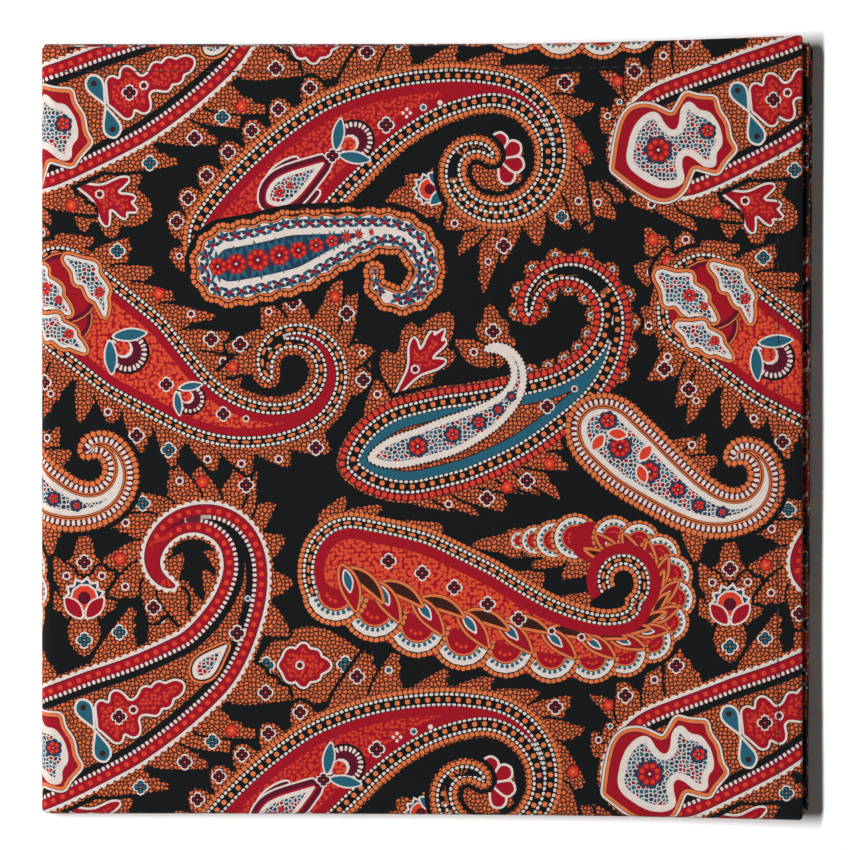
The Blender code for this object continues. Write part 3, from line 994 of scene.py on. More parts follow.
def sprigs(art: Print) -> None:
    """Draw the separate flowers on the black ground, each with its own leaves."""
    place = 9.3 + 38j
    art.bush((place, 90, 24, 11, LOBED, 0, FOUR, 0.68), (place + 6j, 158, 9, 6, LOBED, -15),
             (place + 6j, 22, 9, 6, LOBED, 15), (place + 8j, 128, 12, 6, LOBED, -20, RING, 0.55),
             (place + 8j, 52, 12, 6, LOBED, 20, RING, 0.55), (place - 4j, 90, 12, 7, OVAL))
    art.lotus(place + 5.4j, 90, 5.4, CRIMSON)
    art.flower(BLUE, place - 0.5j, 1.8)
    art.bush((46.5 + 32.1j, 0, 26, 17, OVAL))
    art.lily(STAR, 51 + 32.1j, 0, 11.5, 9.5)
    art.flower(BLUE, 48.6 + 32.1j, 1.9)
    art.flower(BLUE, 65.6 + 32.3j, 1.9)
    art.bush((4.5 + 136.8j, -22, 21, 18, SPREAD))
    art.lily(LILY, 7 + 136.2j, -24, 14.5, 10.5)
    art.bush((73.6 + 87j, 55, 26, 15, SPREAD), (69 + 91j, 96, 13, 5, OVAL, 20))
    art.lily(LILY, 76.4 + 90j, 54, 17.5, 8)
    art.bush((115 + 136.5j, -72, 12, 5, OVAL), (117 + 135.5j, -18, 10, 4.5, OVAL),
             (115 + 136.5j, -42, 12.5, 7, LOBED, 0, RING, 0.55))
    art.bush((-3 + 118j, 120, 12, 7, LOBED, 0, RED_ONE, 0.72), (-1 + 118j, 84, 11, 6, LOBED, 0, RING, 0.68),
             (-4 + 117j, 160, 8, 6, OVAL, 0, RING, 0.5))
    art.bush((98.6 + 96.5j, 98, 14, 9, LOBED, 0, FOUR, 0.55), (97.6 + 97j, 148, 10, 5, OVAL, 0, RING, 0.5))
    art.bush((93 + 136j, 35, 13, 13, SPREAD))
    for turn in (-60, 130, -15, 85, 35):
        art.drop(98.4 + 141.2j + 6.2 * toward(turn), turn + 180, 6.4, 4.2, CRIMSON)
    art.flower(BLUE, 98.2 + 141j, 1.7)
    art.bush((93 + 134.4j, 188, 19, 13, SPREAD))
    art.lotus(86.4 + 135j, 184, 4.4, TEAL)


def paisley() -> Print:
    """One repeat of the print: leaves first, then the botehs, with the pale one over the spiral one."""
    art = Print()
    botehs = (GoldBoteh(), SpiralBoteh(), RoseBoteh(), TealBoteh(), CombBoteh(), FanBoteh())
    sprigs(art)
    for boteh_kind in botehs:
        boteh_kind.foliage(art)
    for boteh_kind in (*botehs, PaleBoteh()):
        boteh_kind.draw(art)
    return art
# Everything below is in millimetres until a piece is built, and MM turns it into metres.
MM = 0.001
TURN_STEPS = 7  # faces round a tight turn of the cloth
FOLD_STEPS = 9  # and round the second fold


def placed(name: str, shape: BMesh) -> Object:
    """Make an object of a finished mesh and add it to the scene."""
    mesh = bpy.data.meshes.new(name)
    shape.to_mesh(mesh)
    shape.free()
    mesh.shade_smooth()
    piece = bpy.data.objects.new(name, mesh)
    bpy.context.scene.collection.objects.link(piece)
    log.info("%s: %d faces", name, len(mesh.polygons))
    return piece


@dataclass(frozen=True)
class Edges:
    """How far one layer's edges lie outside the plain square."""

    side_at_fold: float
    side_at_top: float
    top_at_fold: float
    top_at_side: float
    fold_at_side: float


@dataclass(frozen=True)
class Stack:
    """The folded square as a whole."""

    quarter: float = 165.0
    height_middle: float = 5.2
    height_hem: float = 6.4
    hem_room: float = 7.8  # level strip over the hems
    hem_slope: float = 30.0  # width over which the front comes down from them
    lift: float = 0.25  # soft rise and fall of the side hems
    bow: float = 3.0  # power that sets how late an edge bows out
    roll_split: float = 0.4  # room between the two rolls of the first fold
    front: Edges = Edges(-0.7, -0.7, 0.5, 3.0, 1.4)
    inner: Edges = Edges(0.3, 0.8, 0.9, 1.2, 0.1)
    back: Edges = Edges(0.8, 1.8, 0.9, 0.9, 0.1)

    def middle(self) -> tuple[float, float]:
        """Where the origin is, from the lower left corner."""
        return ((self.quarter + self.back.side_at_top) / 2,
                (self.quarter + self.front.top_at_side - self.front.fold_at_side) / 2)

    def metres(self, place: Array) -> Vector:
        """A folded place in the frame's metres."""
        x, y = self.middle()
        return Vector(((place[0] - x) * MM, (place[1] - y) * MM, place[2] * MM))

    def height(self, across: Array, along: Array) -> Array:
        """Height of the front at places given as shares of the side."""
        side = 1 - smooth(((1 - across) * self.quarter - self.hem_room) / self.hem_slope)
        top = 1 - smooth(((1 - along) * self.quarter - self.hem_room) / self.hem_slope)
        over = 1 - (1 - side) * (1 - top)
        wave = self.lift * side * (0.5 + 0.5 * np.cos(4 * np.pi * along))
        return self.height_middle + (self.height_hem - self.height_middle) * over + wave


def smooth(value: Array) -> Array:
    """Soft step from 0 to 1 while value goes from 0 to 1."""
    value = np.clip(value, 0.0, 1.0)
    return value * value * (3 - 2 * value)


@dataclass(frozen=True)
class Crease:
    """A soft trough or ridge in the cloth that fades out at both ends.

    Attributes:
        start, end: its ends on the quarter.
        width: its width between the places where it has died away.
        rise: its height, negative for a trough.
        sag: how far its middle bows to the left of the straight line.
    """

    start: complex
    end: complex
    width: float
    rise: float
    sag: float = 0.0

    def lift(self, place: Path) -> Array:
        """How far it lifts the cloth at each place."""
        run = self.end - self.start
        share = ((place - self.start) * np.conj(run)).real / abs(run) ** 2
        away = ((place - self.start) * np.conj(run)).imag / abs(run)
        away = away - self.sag * (1 - (2 * np.clip(share, 0, 1) - 1) ** 2)
        across = np.clip(1 - (2 * away / self.width) ** 2, 0, 1) ** 2
        return self.rise * across * smooth(share * 4) * smooth((1 - share) * 4)


@dataclass(frozen=True)
class Hem:
    """A turned and stitched hem."""

    radius: float = 0.78  # of the turn at the edge
    width: float = 5.4  # from the edge to the stitching
    flap: float = 6.3  # from the edge to the raw edge inside
    pitch: float = 2.6  # of the stitches
    thread: float = 0.26
    trough: float = 0.14  # how deep the stitching draws the cloth in
    reach: float = 1.5  # half the trough's width
    last_line: float = 1.6  # from the raw edge to the nearest line that bends

    def turn(self) -> float:
        """Cloth used by the turn."""
        return math.pi * self.radius


@dataclass(frozen=True)
class Pucker:
    """How unevenly the stitching draws the cloth in; every pace is in radians a millimetre."""

    uneven: float = 0.25  # share by which the trough's depth varies
    pull_pace: float = 0.83
    pull_drift: float = 1.7
    pull_slow: float = 0.11
    height: float = 0.05  # of the puckers beside the stitching
    middle: float = 3.0  # their distance from the edge
    spread: float = 3.2
    pace: float = 0.9
    drift: float = 2.2
    slow: float = 0.21
    slant: float = 0.4

    def pull(self, along: Array) -> Array:
        """Share of the trough's full depth at places along a hem."""
        turn = along * self.pull_pace + self.pull_drift * np.sin(along * self.pull_slow)
        return 1 - self.uneven + self.uneven * np.cos(turn)

    def rise(self, run: Array, beyond: Array, along: Array) -> Array:
        """Height of the puckers.

        Args:
            run: places towards the edge.
            beyond: how far outside the edge they are, so below 0 on the cloth.
            along: places along the edge.
        """
        near = np.exp(-((beyond + self.middle) / self.spread) ** 2)
        turn = along * self.pace + self.drift * np.sin(along * self.slow) + self.slant * run
        return self.height * near * np.sin(turn)


class Sheet:
    """One layer of the folded cloth, laid out flat before it is folded.

    A place on the flat sheet is (p, q): p runs from the second fold to the side edge and q from
    the first fold to the top edge, so both are the same numbers on every layer. Subclasses set
    where the layer lies.
    """

    name = "sheet"
    edges: Edges
    fold_radius = 2.6  # of the second fold, at the middle
    roll_radius = 1.25  # of the first fold, at the middle
    wall = 0.45  # thickness of the cloth
    detail = 7.0  # spacing of the lines that let the flat cloth bend
    quarters = 1
    cut_beyond = (8, 12)  # cloth beyond the quarters' sides, across and along
    pucker = Pucker()

    def __init__(self, stack: Stack, hem: Hem, creases: tuple[Crease, ...]) -> None:
        self.stack = stack
        self.hem = hem
        self.creases = creases
        self.side = stack.quarter
        self.hem_start = self.side - hem.radius
        self.hem_end = self.hem_start + hem.turn() + hem.flap - hem.radius

    def across_lines(self) -> list[float]:
        """Places of the lines that run up the sheet."""
        raise NotImplementedError

    def along_lines(self) -> list[float]:
        """Places of the lines that run across the sheet."""
        raise NotImplementedError

    def cloth(self, place: Path) -> Path:
        """Where a place of the flat sheet is on the printed cloth."""
        raise NotImplementedError

    def flat(self, cloth: Path) -> Path:
        """Where a place on the printed cloth is on the flat sheet."""
        raise NotImplementedError

    def fold(self, place: Path, depth: float) -> Array:
        """Folded places, at a depth under the printed side."""
        raise NotImplementedError

    def outline(self) -> Path:
        """The flat sheet's outline, counter-clockwise."""
        raise NotImplementedError

    def hem_lines(self) -> list[float]:
        """Lines for the turn of a hem, its stitching and its inner edge."""
        turn = [self.hem_start + self.hem.turn() * k / TURN_STEPS for k in range(TURN_STEPS + 1)]
        stitch = self.side - self.hem.width
        trough = [stitch + k * self.hem.reach / 2 for k in (-2, -1, 0, 1, 2)]
        return trough + turn + [self.hem_end - self.hem.last_line, self.hem_end]

    def level_lines(self, start: float) -> list[float]:
        """Even lines over the level part, from a fold to the hem's stitching."""
        stitch = self.side - self.hem.width - self.hem.reach
        count = round((stitch - start) / self.detail)
        return [start + (stitch - start) * k / count for k in range(count)]

    def cut_size(self) -> tuple[float, float]:
        """Width and height of the sheet's cut in metres: its quarters, hems and shares of the folds."""
        across, along = self.cut_beyond
        return (self.quarters * self.side + across) * MM, (self.side + along) * MM

    def hem_turn(self, over: Array, depth: float) -> tuple[Array, Array]:
        """How far beyond the hem's start and how far down the cloth is, for the run past it."""
        radius = self.hem.radius
        angle = np.clip(over / radius, 0, math.pi)
        back = np.maximum(over - self.hem.turn(), 0)
        return (radius - depth) * np.sin(angle) - back, radius - (radius - depth) * np.cos(angle)

    def hemmed(self, place: Path, depth: float) -> tuple[Array, Array, Array]:
        """Places pulled in to the hems' edges, and their depth; both hems turn as one at the corner."""
        over = np.maximum(place.real - self.hem_start, 0) + 1j * np.maximum(place.imag - self.hem_start, 0)
        reach = np.abs(over)
        out, down = self.hem_turn(reach, depth)
        way = np.where(reach > 1e-6, over / np.maximum(reach, 1e-6), 0)
        x = np.minimum(place.real, self.hem_start) + out * way.real
        y = np.minimum(place.imag, self.hem_start) + out * way.imag
        return x, y, np.where(reach > 0, down, depth)

    def relief(self, x: Array, y: Array) -> Array:
        """Lift of the cloth by its creases and by the pull of the stitching."""
        place = x + 1j * y
        lift = sum((crease.lift(place) for crease in self.creases), np.zeros(len(place)))
        for run, cross in ((x, y), (y, x)):
            away = np.abs(run - (self.side - self.hem.width)) / self.hem.reach
            lift = lift - self.hem.trough * self.pucker.pull(cross) * np.clip(1 - away * away, 0, 1) ** 2
            lift = lift + self.pucker.rise(run, run - self.side, cross)
        return lift


class OuterSheet(Sheet):
    """A sheet of the outer wall: it runs over the second fold and rolls in at the first fold."""

    tucked = 2.0  # cloth that goes on inside the roll
    flap_start = 1.5  # from the roll to the lower end of the side hem's flap
    flap_slant = 1.0

    def roll(self, across: Array, q: Array, depth: Array) -> tuple[Array, Array]:
        """Distance from the first fold and depth, round the roll and back inside it."""
        radius = (self.stack.height(across, np.zeros(len(across))) - self.stack.roll_split) / 4
        turned = math.pi * self.roll_radius
        angle = np.clip((self.roll_radius - q) / self.roll_radius, 0, math.pi)
        back = np.maximum(self.roll_radius - turned - q, 0)
        rolled = radius - (radius - depth) * np.sin(angle) + back
        down = radius - (radius - depth) * np.cos(angle)
        stretch = (self.side - radius) / (self.side - self.roll_radius)
        level = radius + (q - self.roll_radius) * stretch
        on_roll = q < self.roll_radius
        return np.where(on_roll, rolled, level), np.where(on_roll, down, depth)

    def fold(self, place: Path, depth: float) -> Array:
        """Folded places, at a depth under the printed side."""
        stack, side = self.stack, self.side
        x, y, down = self.hemmed(place, depth)
        share = np.clip((self.fold_radius - x) / (math.pi * self.fold_radius), 0, 1)
        y, down = self.roll(np.clip(x / side, 0, 1), y, down)
        along = y / side
        radius = stack.height(np.zeros(len(along)), along) / 2
        start = radius / side
        across = start + (1 - start) * (x - self.fold_radius) / (side - self.fold_radius)
        on_fold = x < self.fold_radius
        across = np.where(on_fold, 0, across)
        blend = smooth(share)
        front, back = astuple(stack.front), astuple(stack.back)
        if self.edges is stack.back:
            blend = np.ones(len(along))
        blended = (a + (b - a) * blend for a, b in zip(front, back))
        side_fold, side_top, top_fold, top_side, fold_side = blended
        bowed = across ** stack.bow
        low = -fold_side * bowed
        top = top_fold + (top_side - top_fold) * bowed
        flat_y = low + along * (side + top - low)
        flat_x = across * (side + side_fold + (side_top - side_fold) * along)
        z = self.level(across, along, down, flat_x, flat_y)
        reach = radius - down
        angle = math.pi * share
        flat_x = np.where(on_fold, radius - reach * np.sin(angle), flat_x)
        z = np.where(on_fold, radius + reach * np.cos(angle), z)
        return np.stack([flat_x, flat_y, z], axis=1)

    def level(self, across: Array, along: Array, down: Array, x: Array,
              y: Array) -> Array:
        """Height of the flat part."""
        raise NotImplementedError

    def outline(self) -> Path:
        """The flat sheet's outline, with a mitre at the corner and a short flap by the roll."""
        first, last = self.across_lines()[0], self.hem_end
        low = self.along_lines()[0]
        half_turn = self.hem_start + self.hem.turn() / 2
        cut = self.roll_radius + self.flap_start
        mitre = 2 * self.hem_start + self.hem.turn() - last
        corners = [first + 1j * low, half_turn + 1j * low, half_turn + 1j * cut,
                   last + 1j * (cut + self.flap_slant), last + 1j * mitre, mitre + 1j * last,
                   first + 1j * last]
        return np.array(corners)

    def along_lines(self) -> list[float]:
        """Lines round the first fold, over the flat part and round the top hem."""
        turned = self.roll_radius * (1 - math.pi)
        roll = [turned + (self.roll_radius - turned) * k / TURN_STEPS for k in range(TURN_STEPS + 1)]
        return [turned - self.tucked] + roll + self.level_lines(self.roll_radius)[1:] + self.hem_lines()


class FrontQuarter(OuterSheet):
    """The top quarter, whose print shows, with the left fold that it runs round."""

    name = "front_quarter"
    cut_beyond = (14, 12)

    def __init__(self, stack: Stack, hem: Hem, creases: tuple[Crease, ...]) -> None:
        super().__init__(stack, hem, creases)
        self.edges = stack.front

    def across_lines(self) -> list[float]:
        """Lines round the second fold, over the flat part and round the side hem."""
        fold = [self.fold_radius * (1 - math.pi * (1 - k / FOLD_STEPS)) for k in range(FOLD_STEPS + 1)]
        return fold + self.level_lines(self.fold_radius)[1:] + self.hem_lines()

    def stretch(self, p: Array, q: Array) -> tuple[Array, Array]:
        """How far the print lies from the flat sheet's own numbers, as the edges aren't quite parallel."""
        side, edges = self.side, self.edges
        across, along = np.clip(p / side, 0, 1), np.clip(q / side, 0, 1)
        low = -edges.fold_at_side * across ** self.stack.bow
        top = edges.top_at_fold + (edges.top_at_side - edges.top_at_fold) * across ** self.stack.bow
        return edges.side_at_fold * across, low + (top - low) * along

    def cloth(self, place: Path) -> Path:
        """Where a place of the flat sheet is on the printed cloth."""
        right, up = self.stretch(place.real, place.imag)
        return place + right + 1j * up

    def flat(self, cloth: Path) -> Path:
        """Where a place on the printed cloth is on the flat sheet."""
        place = cloth
        for _ in range(3):
            right, up = self.stretch(place.real, place.imag)
            place = cloth - right - 1j * up
        return place

    def level(self, across: Array, along: Array, down: Array, x: Array,
              y: Array) -> Array:
        """Height of the flat part, with its creases."""
        return self.stack.height(across, along) - down + self.relief(x, y)


class BackQuarter(OuterSheet):
    """The bottom quarter, that the folded square lies on."""

    name = "back_quarter"
    sunk = 2.2  # how much deeper than on the front the stitching lies under the square

    def __init__(self, stack: Stack, hem: Hem) -> None:
        super().__init__(stack, hem, ())
        self.edges = stack.back

    def across_lines(self) -> list[float]:
        """Lines over the flat part and round the side hem."""
        return self.level_lines(self.fold_radius) + self.hem_lines()

    def cloth(self, place: Path) -> Path:
        """Where a place of the flat sheet is on the printed cloth: it goes on from the fold."""
        return (2 - math.pi) * self.fold_radius - np.conj(place)

    def flat(self, cloth: Path) -> Path:
        """Where a place on the printed cloth is on the flat sheet."""
        return np.conj((2 - math.pi) * self.fold_radius - cloth)

    def level(self, across: Array, along: Array, down: Array, x: Array,
              y: Array) -> Array:
        """Height of the flat part: it rests on the surface, with its stitching drawn in."""
        for run in (x, y):
            away = np.abs(run - (self.side - self.hem.width)) / self.hem.reach
            down = down + self.sunk * self.hem.trough * np.clip(1 - away * away, 0, 1)
        return down


class InnerQuarters(Sheet):
    """The two hidden quarters, one sheet that turns inside the second fold.

    Its printed sides face each other, and its hems are turned to the outside of it.
    """

    name = "inner_layers"
    quarters = 2
    cut_beyond = (16, 8)
    fold_in = 1.95  # how far its fold lies inside the outer one
    fold_lines = (0.9, 1.8, 3.0)  # lines that round it
    half_gap = 0.12  # half the room between the two layers
    lower_out = 0.4  # how far the lower layer's hems stand out beyond the upper one's
    first_fold = 3.0  # cloth between its lower edge's line and the first fold
    start = 1.5

    def __init__(self, stack: Stack, hem: Hem) -> None:
        super().__init__(stack, hem, ())
        self.edges = stack.inner

    def across_lines(self) -> list[float]:
        """Lines from one side hem round the fold to the other."""
        one = [*self.fold_lines, *(6.0 + 19.0 * k for k in range(8)), *self.hem_lines()]
        return [-p for p in reversed(one)] + [0.0] + one

    def along_lines(self) -> list[float]:
        """Lines from the first fold to the top hem."""
        return [self.start + 19.4 * k for k in range(9)] + self.hem_lines()

    def cloth(self, place: Path) -> Path:
        """Where a place of the flat sheet is on the printed cloth: below the first fold."""
        return (2 - math.pi) * self.fold_radius / 2 + place.real - 1j * (place.imag + self.first_fold)

    def flat(self, cloth: Path) -> Path:
        """Where a place on the printed cloth is on the flat sheet."""
        return cloth.real - (2 - math.pi) * self.fold_radius / 2 - 1j * (cloth.imag + self.first_fold)

    def fold(self, place: Path, depth: float) -> Array:
        """Folded places, at a depth over the printed side."""
        stack, side = self.stack, self.side
        upper = place.real > 0
        x, y, away = self.hemmed(np.abs(place.real) + 1j * place.imag, depth)
        along, across = y / side, x / side
        middle = stack.height(across, along) / 2
        turn = np.clip(x / self.fold_lines[-1], 0, 1)
        level = np.sqrt(1 - (1 - turn) ** 2) * (self.half_gap + away)
        z = middle + np.where(upper, 1, -1) * level
        edges, bowed = self.edges, across ** stack.bow
        shift = np.where(upper, 0.0, self.lower_out)
        top = side + edges.top_at_fold + (edges.top_at_side - edges.top_at_fold) * bowed
        out = side + edges.side_at_fold + (edges.side_at_top - edges.side_at_fold) * along
        flat_y = along * top + shift * along
        flat_x = across * out + (1 - across) * (self.fold_in - away * (1 - turn)) + shift * across
        return np.stack([flat_x, flat_y, z], axis=1)

    def outline(self) -> Path:
        """The flat sheet's outline, with a mitre at both corners."""
        last, low = self.hem_end, self.start
        mitre = 2 * self.hem_start + self.hem.turn() - last
        right = [last + 1j * low, last + 1j * mitre, mitre + 1j * last]
        return np.array(right + [-z.conjugate() for z in reversed(right)])


@dataclass
class PrintedCloth:
    """A sheet cut by its print into faces of one ink each, folded, with a lining and a rim.

    Attributes:
        sheet: the flat sheet and how it folds.
        art: one repeat of the print.
        margin: width along the hems that the print is drawn on; all of the sheet if None.
    """

    sheet: Sheet
    art: Print
    margin: float | None = None
    owners: list[tuple[Shape, complex]] = field(default_factory=list)

    ACROSS = 139.3 - 1.57j  # from a flower to its next repeat to the right
    UP = 1.8 + 134.6j  # and to the one above
    REPEATS = (range(-4, 4), range(-3, 3))  # to the right and up, more than any sheet needs
    PLAIN = len(Ink)  # faces from this number on belong to a small pattern
    INK, RUN, WEAVE, BAKE = "ink", "run", "weave", "OFBake"
    BAKE_LOW, BAKE_SPAN = 0.03, 0.96  # part of the OFBake map that the printed side takes
    LINING_LOW, LINING_SPAN = 0.985, 0.004  # and the wrong side
    WELD, SAME_LINE, SAME_PLACE = 1e-5, 1e-4, 1e-7
    FLAT = math.radians(0.5)

    def instances(self) -> list[tuple[Shape, complex]]:
        """Every printed shape that falls on the sheet, with its shift, in painting order."""
        across, along = self.sheet.across_lines(), self.sheet.along_lines()
        corners = self.sheet.cloth(np.array([p + 1j * q for p in (across[0], across[-1])
                                             for q in (along[0], along[-1])]))
        found = []
        for shape in self.art.shapes:
            for i, j in product(*self.REPEATS):
                shift = i * self.ACROSS + j * self.UP
                place = shape.outline + shift
                meets = all(one.max() > two.min() and one.min() < two.max()
                            for one, two in ((place.real, corners.real), (place.imag, corners.imag)))
                if meets and self.near(self.sheet.flat(place)):
                    found.append((shape, shift))
        return found

    def near(self, place: Path) -> bool:
        """Whether a shape reaches the strip that is printed."""
        if self.margin is None:
            return True
        limit = self.sheet.stack.quarter - self.margin
        return bool((np.abs(place.real) > limit).any() or (place.imag > limit).any())

    def cut(self) -> tuple[Array, list[tuple[int, ...]], list[int]]:
        """Cut the flat sheet along the print's outlines.

        Returns:
            The places, the triangles and each triangle's number: its ink, or PLAIN and the
            number of the small pattern that it belongs to.
        """
        points: list[complex] = []
        faces: list[list[int]] = []
        numbers: list[int] = []

        def add(outline: Path, number: int) -> None:
            area = (outline.conj() * np.roll(outline, -1)).imag.sum()
            loop = outline if area > 0 else outline[::-1]
            faces.append(list(range(len(points), len(points) + len(loop))))
            points.extend(loop)
            numbers.append(number)

        add(self.sheet.outline(), BLACK)
        across, along = self.sheet.across_lines(), self.sheet.along_lines()
        for p, p_next in zip(across, across[1:]):
            for q, q_next in zip(along, along[1:]):
                cell = np.array([p + 1j * q, p_next + 1j * q, p_next + 1j * q_next, p + 1j * q_next])
                add(cell, BLACK)
        for shape, shift in self.instances():
            number = int(shape.ink)
            if shape.guide is not None:
                number = self.PLAIN + len(self.owners)
                self.owners.append((shape, shift))
            add(self.sheet.flat(shape.outline + shift), number)
        spots, _, triangles, _, _, owners = delaunay_2d_cdt(
            [Vector((z.real, z.imag)) for z in points], [], faces, 1, self.WELD)
        places = np.array([complex(v.x, v.y) for v in spots])
        on_sheet = np.array([0 in owner for owner in owners])
        triangles = np.array(triangles)[on_sheet]
        owners = [owner for owner, kept in zip(owners, on_sheet) if kept]
        top = [max(owner) for owner in owners]
        log.info("%s: %d shapes cut it into %d triangles", self.sheet.name, len(faces), len(triangles))
        return places, triangles.tolist(), [numbers[owner] for owner in top]

    def build(self) -> Object:
        """Cut, merge, fold, line and map the sheet."""
        places, triangles, numbers = self.cut()
        mesh = bpy.data.meshes.new("flat")
        mesh.from_pydata([(z.real, z.imag, 0.0) for z in places], [], triangles)
        mesh.polygons.foreach_set("material_index", numbers)
        shape = bmesh.new()
        shape.from_mesh(mesh)
        bpy.data.meshes.remove(mesh)
        bmesh.ops.delete(shape, geom=[v for v in shape.verts if not v.link_faces], context="VERTS")
        self.merge(shape)
        self.map_print(shape)
        self.line(shape)
        return placed(self.sheet.name, shape)

    def merge(self, shape: BMesh) -> None:
        """Merge the triangles that print covers in one ink, within the cells between the lines."""
        lines = (np.array(self.sheet.across_lines()), np.array(self.sheet.along_lines()))
        for edge in shape.edges:
            a, b = edge.verts[0].co, edge.verts[1].co
            for axis in (0, 1):
                gap = np.abs(lines[axis] - a[axis]).min()
                if abs(a[axis] - b[axis]) < self.SAME_LINE and gap < self.SAME_LINE:
                    edge.seam = True
        bmesh.ops.dissolve_limit(shape, angle_limit=self.FLAT, use_dissolve_boundaries=False,
                                 verts=shape.verts[:], edges=shape.edges[:], delimit={"SEAM", "MATERIAL"})
        bmesh.ops.triangulate(shape, faces=shape.faces[:])

    def map_print(self, shape: BMesh) -> None:
        """Write each face's ink, its place along its small pattern, and its place on the cloth."""
        ink = shape.faces.layers.float.new(self.INK)
        bake = shape.loops.layers.uv.new(self.BAKE)
        run = shape.loops.layers.uv.new(self.RUN)
        weave = shape.loops.layers.uv.new(self.WEAVE)
        flat = np.array([complex(v.co.x, v.co.y) for v in shape.verts])
        cloth = self.sheet.cloth(flat)
        low = flat.real.min() + 1j * flat.imag.min()
        size = max(np.ptp(flat.real), np.ptp(flat.imag))
        owned: dict[int, list[BMFace]] = {}
        shape.verts.index_update()
        for face in shape.faces:
            if face.material_index >= self.PLAIN:
                owned.setdefault(face.material_index - self.PLAIN, []).append(face)
            else:
                face[ink] = face.material_index
            for corner in face.loops:
                k = corner.vert.index
                spot = (flat[k] - low) / size * self.BAKE_SPAN
                corner[bake].uv = (self.BAKE_LOW + spot.real, self.BAKE_LOW + spot.imag)
                corner[weave].uv = (cloth[k].real, cloth[k].imag)
        for number, faces in owned.items():
            pattern, shift = self.owners[number]
            corners = np.array([[cloth[v.index] for v in face.verts] for face in faces]) - shift
            places = pattern.guide.places(corners.ravel()).reshape(len(faces), 3, 3)
            for face, rows in zip(faces, places):
                face[ink] = pattern.ink
                along = rows[:, 0]
                if pattern.guide.closed and np.ptp(along) > rows[0, 2] / 2:
                    along = np.where(along < rows[0, 2] / 2, along + rows[0, 2], along)
                for corner, place, off in zip(face.loops, along, rows[:, 1]):
                    corner[run].uv = (place, off)
        for face in shape.faces:
            face.material_index = 0

    def line(self, shape: BMesh) -> None:
        """Fold the printed side, and close it with a rim and a plainer wrong side."""
        metres = self.sheet.stack.metres
        shape.verts.index_update()
        printed = list(shape.verts)
        flat = np.array([complex(v.co.x, v.co.y) for v in printed])
        ring = [e for e in shape.edges if e.is_boundary]
        border = flat[self.walk(ring)]
        rim = bmesh.ops.extrude_edge_only(shape, edges=ring)
        lower = [v for v in rim["geom"] if isinstance(v, BMVert)]
        plain = [f for f in rim["geom"] if isinstance(f, BMFace)]
        for vert, place in zip(printed, self.sheet.fold(flat, 0.0)):
            vert.co = metres(place)
        extra = [Vector((p, q)) for p in self.sheet.across_lines() for q in self.sheet.along_lines()]
        edge = [Vector((z.real, z.imag)) for z in border]
        spots, _, faces, _, _, inside = delaunay_2d_cdt(edge + extra, [], [list(range(len(edge)))], 1,
                                                        self.WELD)
        wrong = self.sheet.fold(np.array([complex(v.x, v.y) for v in spots]), self.sheet.wall)
        under = [shape.verts.new(metres(place)) for place in wrong]
        edges = self.sheet.fold(np.array([complex(v.co.x, v.co.y) for v in lower]), self.sheet.wall)
        for vert, place in zip(lower, edges):
            vert.co = metres(place)
        plain = [shape.faces.new([under[k] for k in reversed(tri)])
                 for tri, owners in zip(faces, inside) if owners] + plain
        bmesh.ops.delete(shape, geom=[v for v in under if not v.link_faces], context="VERTS")
        self.map_lining(shape, plain)
        under = [v for v in under if v.is_valid]
        bmesh.ops.remove_doubles(shape, verts=lower + under, dist=self.SAME_PLACE)
        bmesh.ops.triangulate(shape, faces=[f for f in shape.faces if len(f.verts) > 3])
        bmesh.ops.recalc_face_normals(shape, faces=shape.faces[:])

    def map_lining(self, shape: BMesh, faces: list[BMFace]) -> None:
        """Give the wrong side and the rim the plain black ink and a corner of the OFBake map."""
        ink = shape.faces.layers.float[self.INK]
        bake = shape.loops.layers.uv[self.BAKE]
        weave = shape.loops.layers.uv[self.WEAVE]
        for face in faces:
            face[ink] = BLACK
            face.smooth = True
            for corner in face.loops:
                place = corner.vert.co
                corner[bake].uv = [self.LINING_LOW + self.LINING_SPAN * (run % 1) for run in place.xy]
                corner[weave].uv = place.xy / MM

    @staticmethod
    def walk(ring: list[BMEdge]) -> list[int]:
        """Numbers of the border's points, in order round the sheet."""
        links: dict[int, list[int]] = {}
        for edge in ring:
            a, b = edge.verts[0].index, edge.verts[1].index
            links.setdefault(a, []).append(b)
            links.setdefault(b, []).append(a)
        start = next(iter(links))
        order, before, at = [start], None, start
        while True:
            onward = [k for k in links[at] if k != before]
            before, at = at, onward[0]
            if at == start:
                return order
            order.append(at)


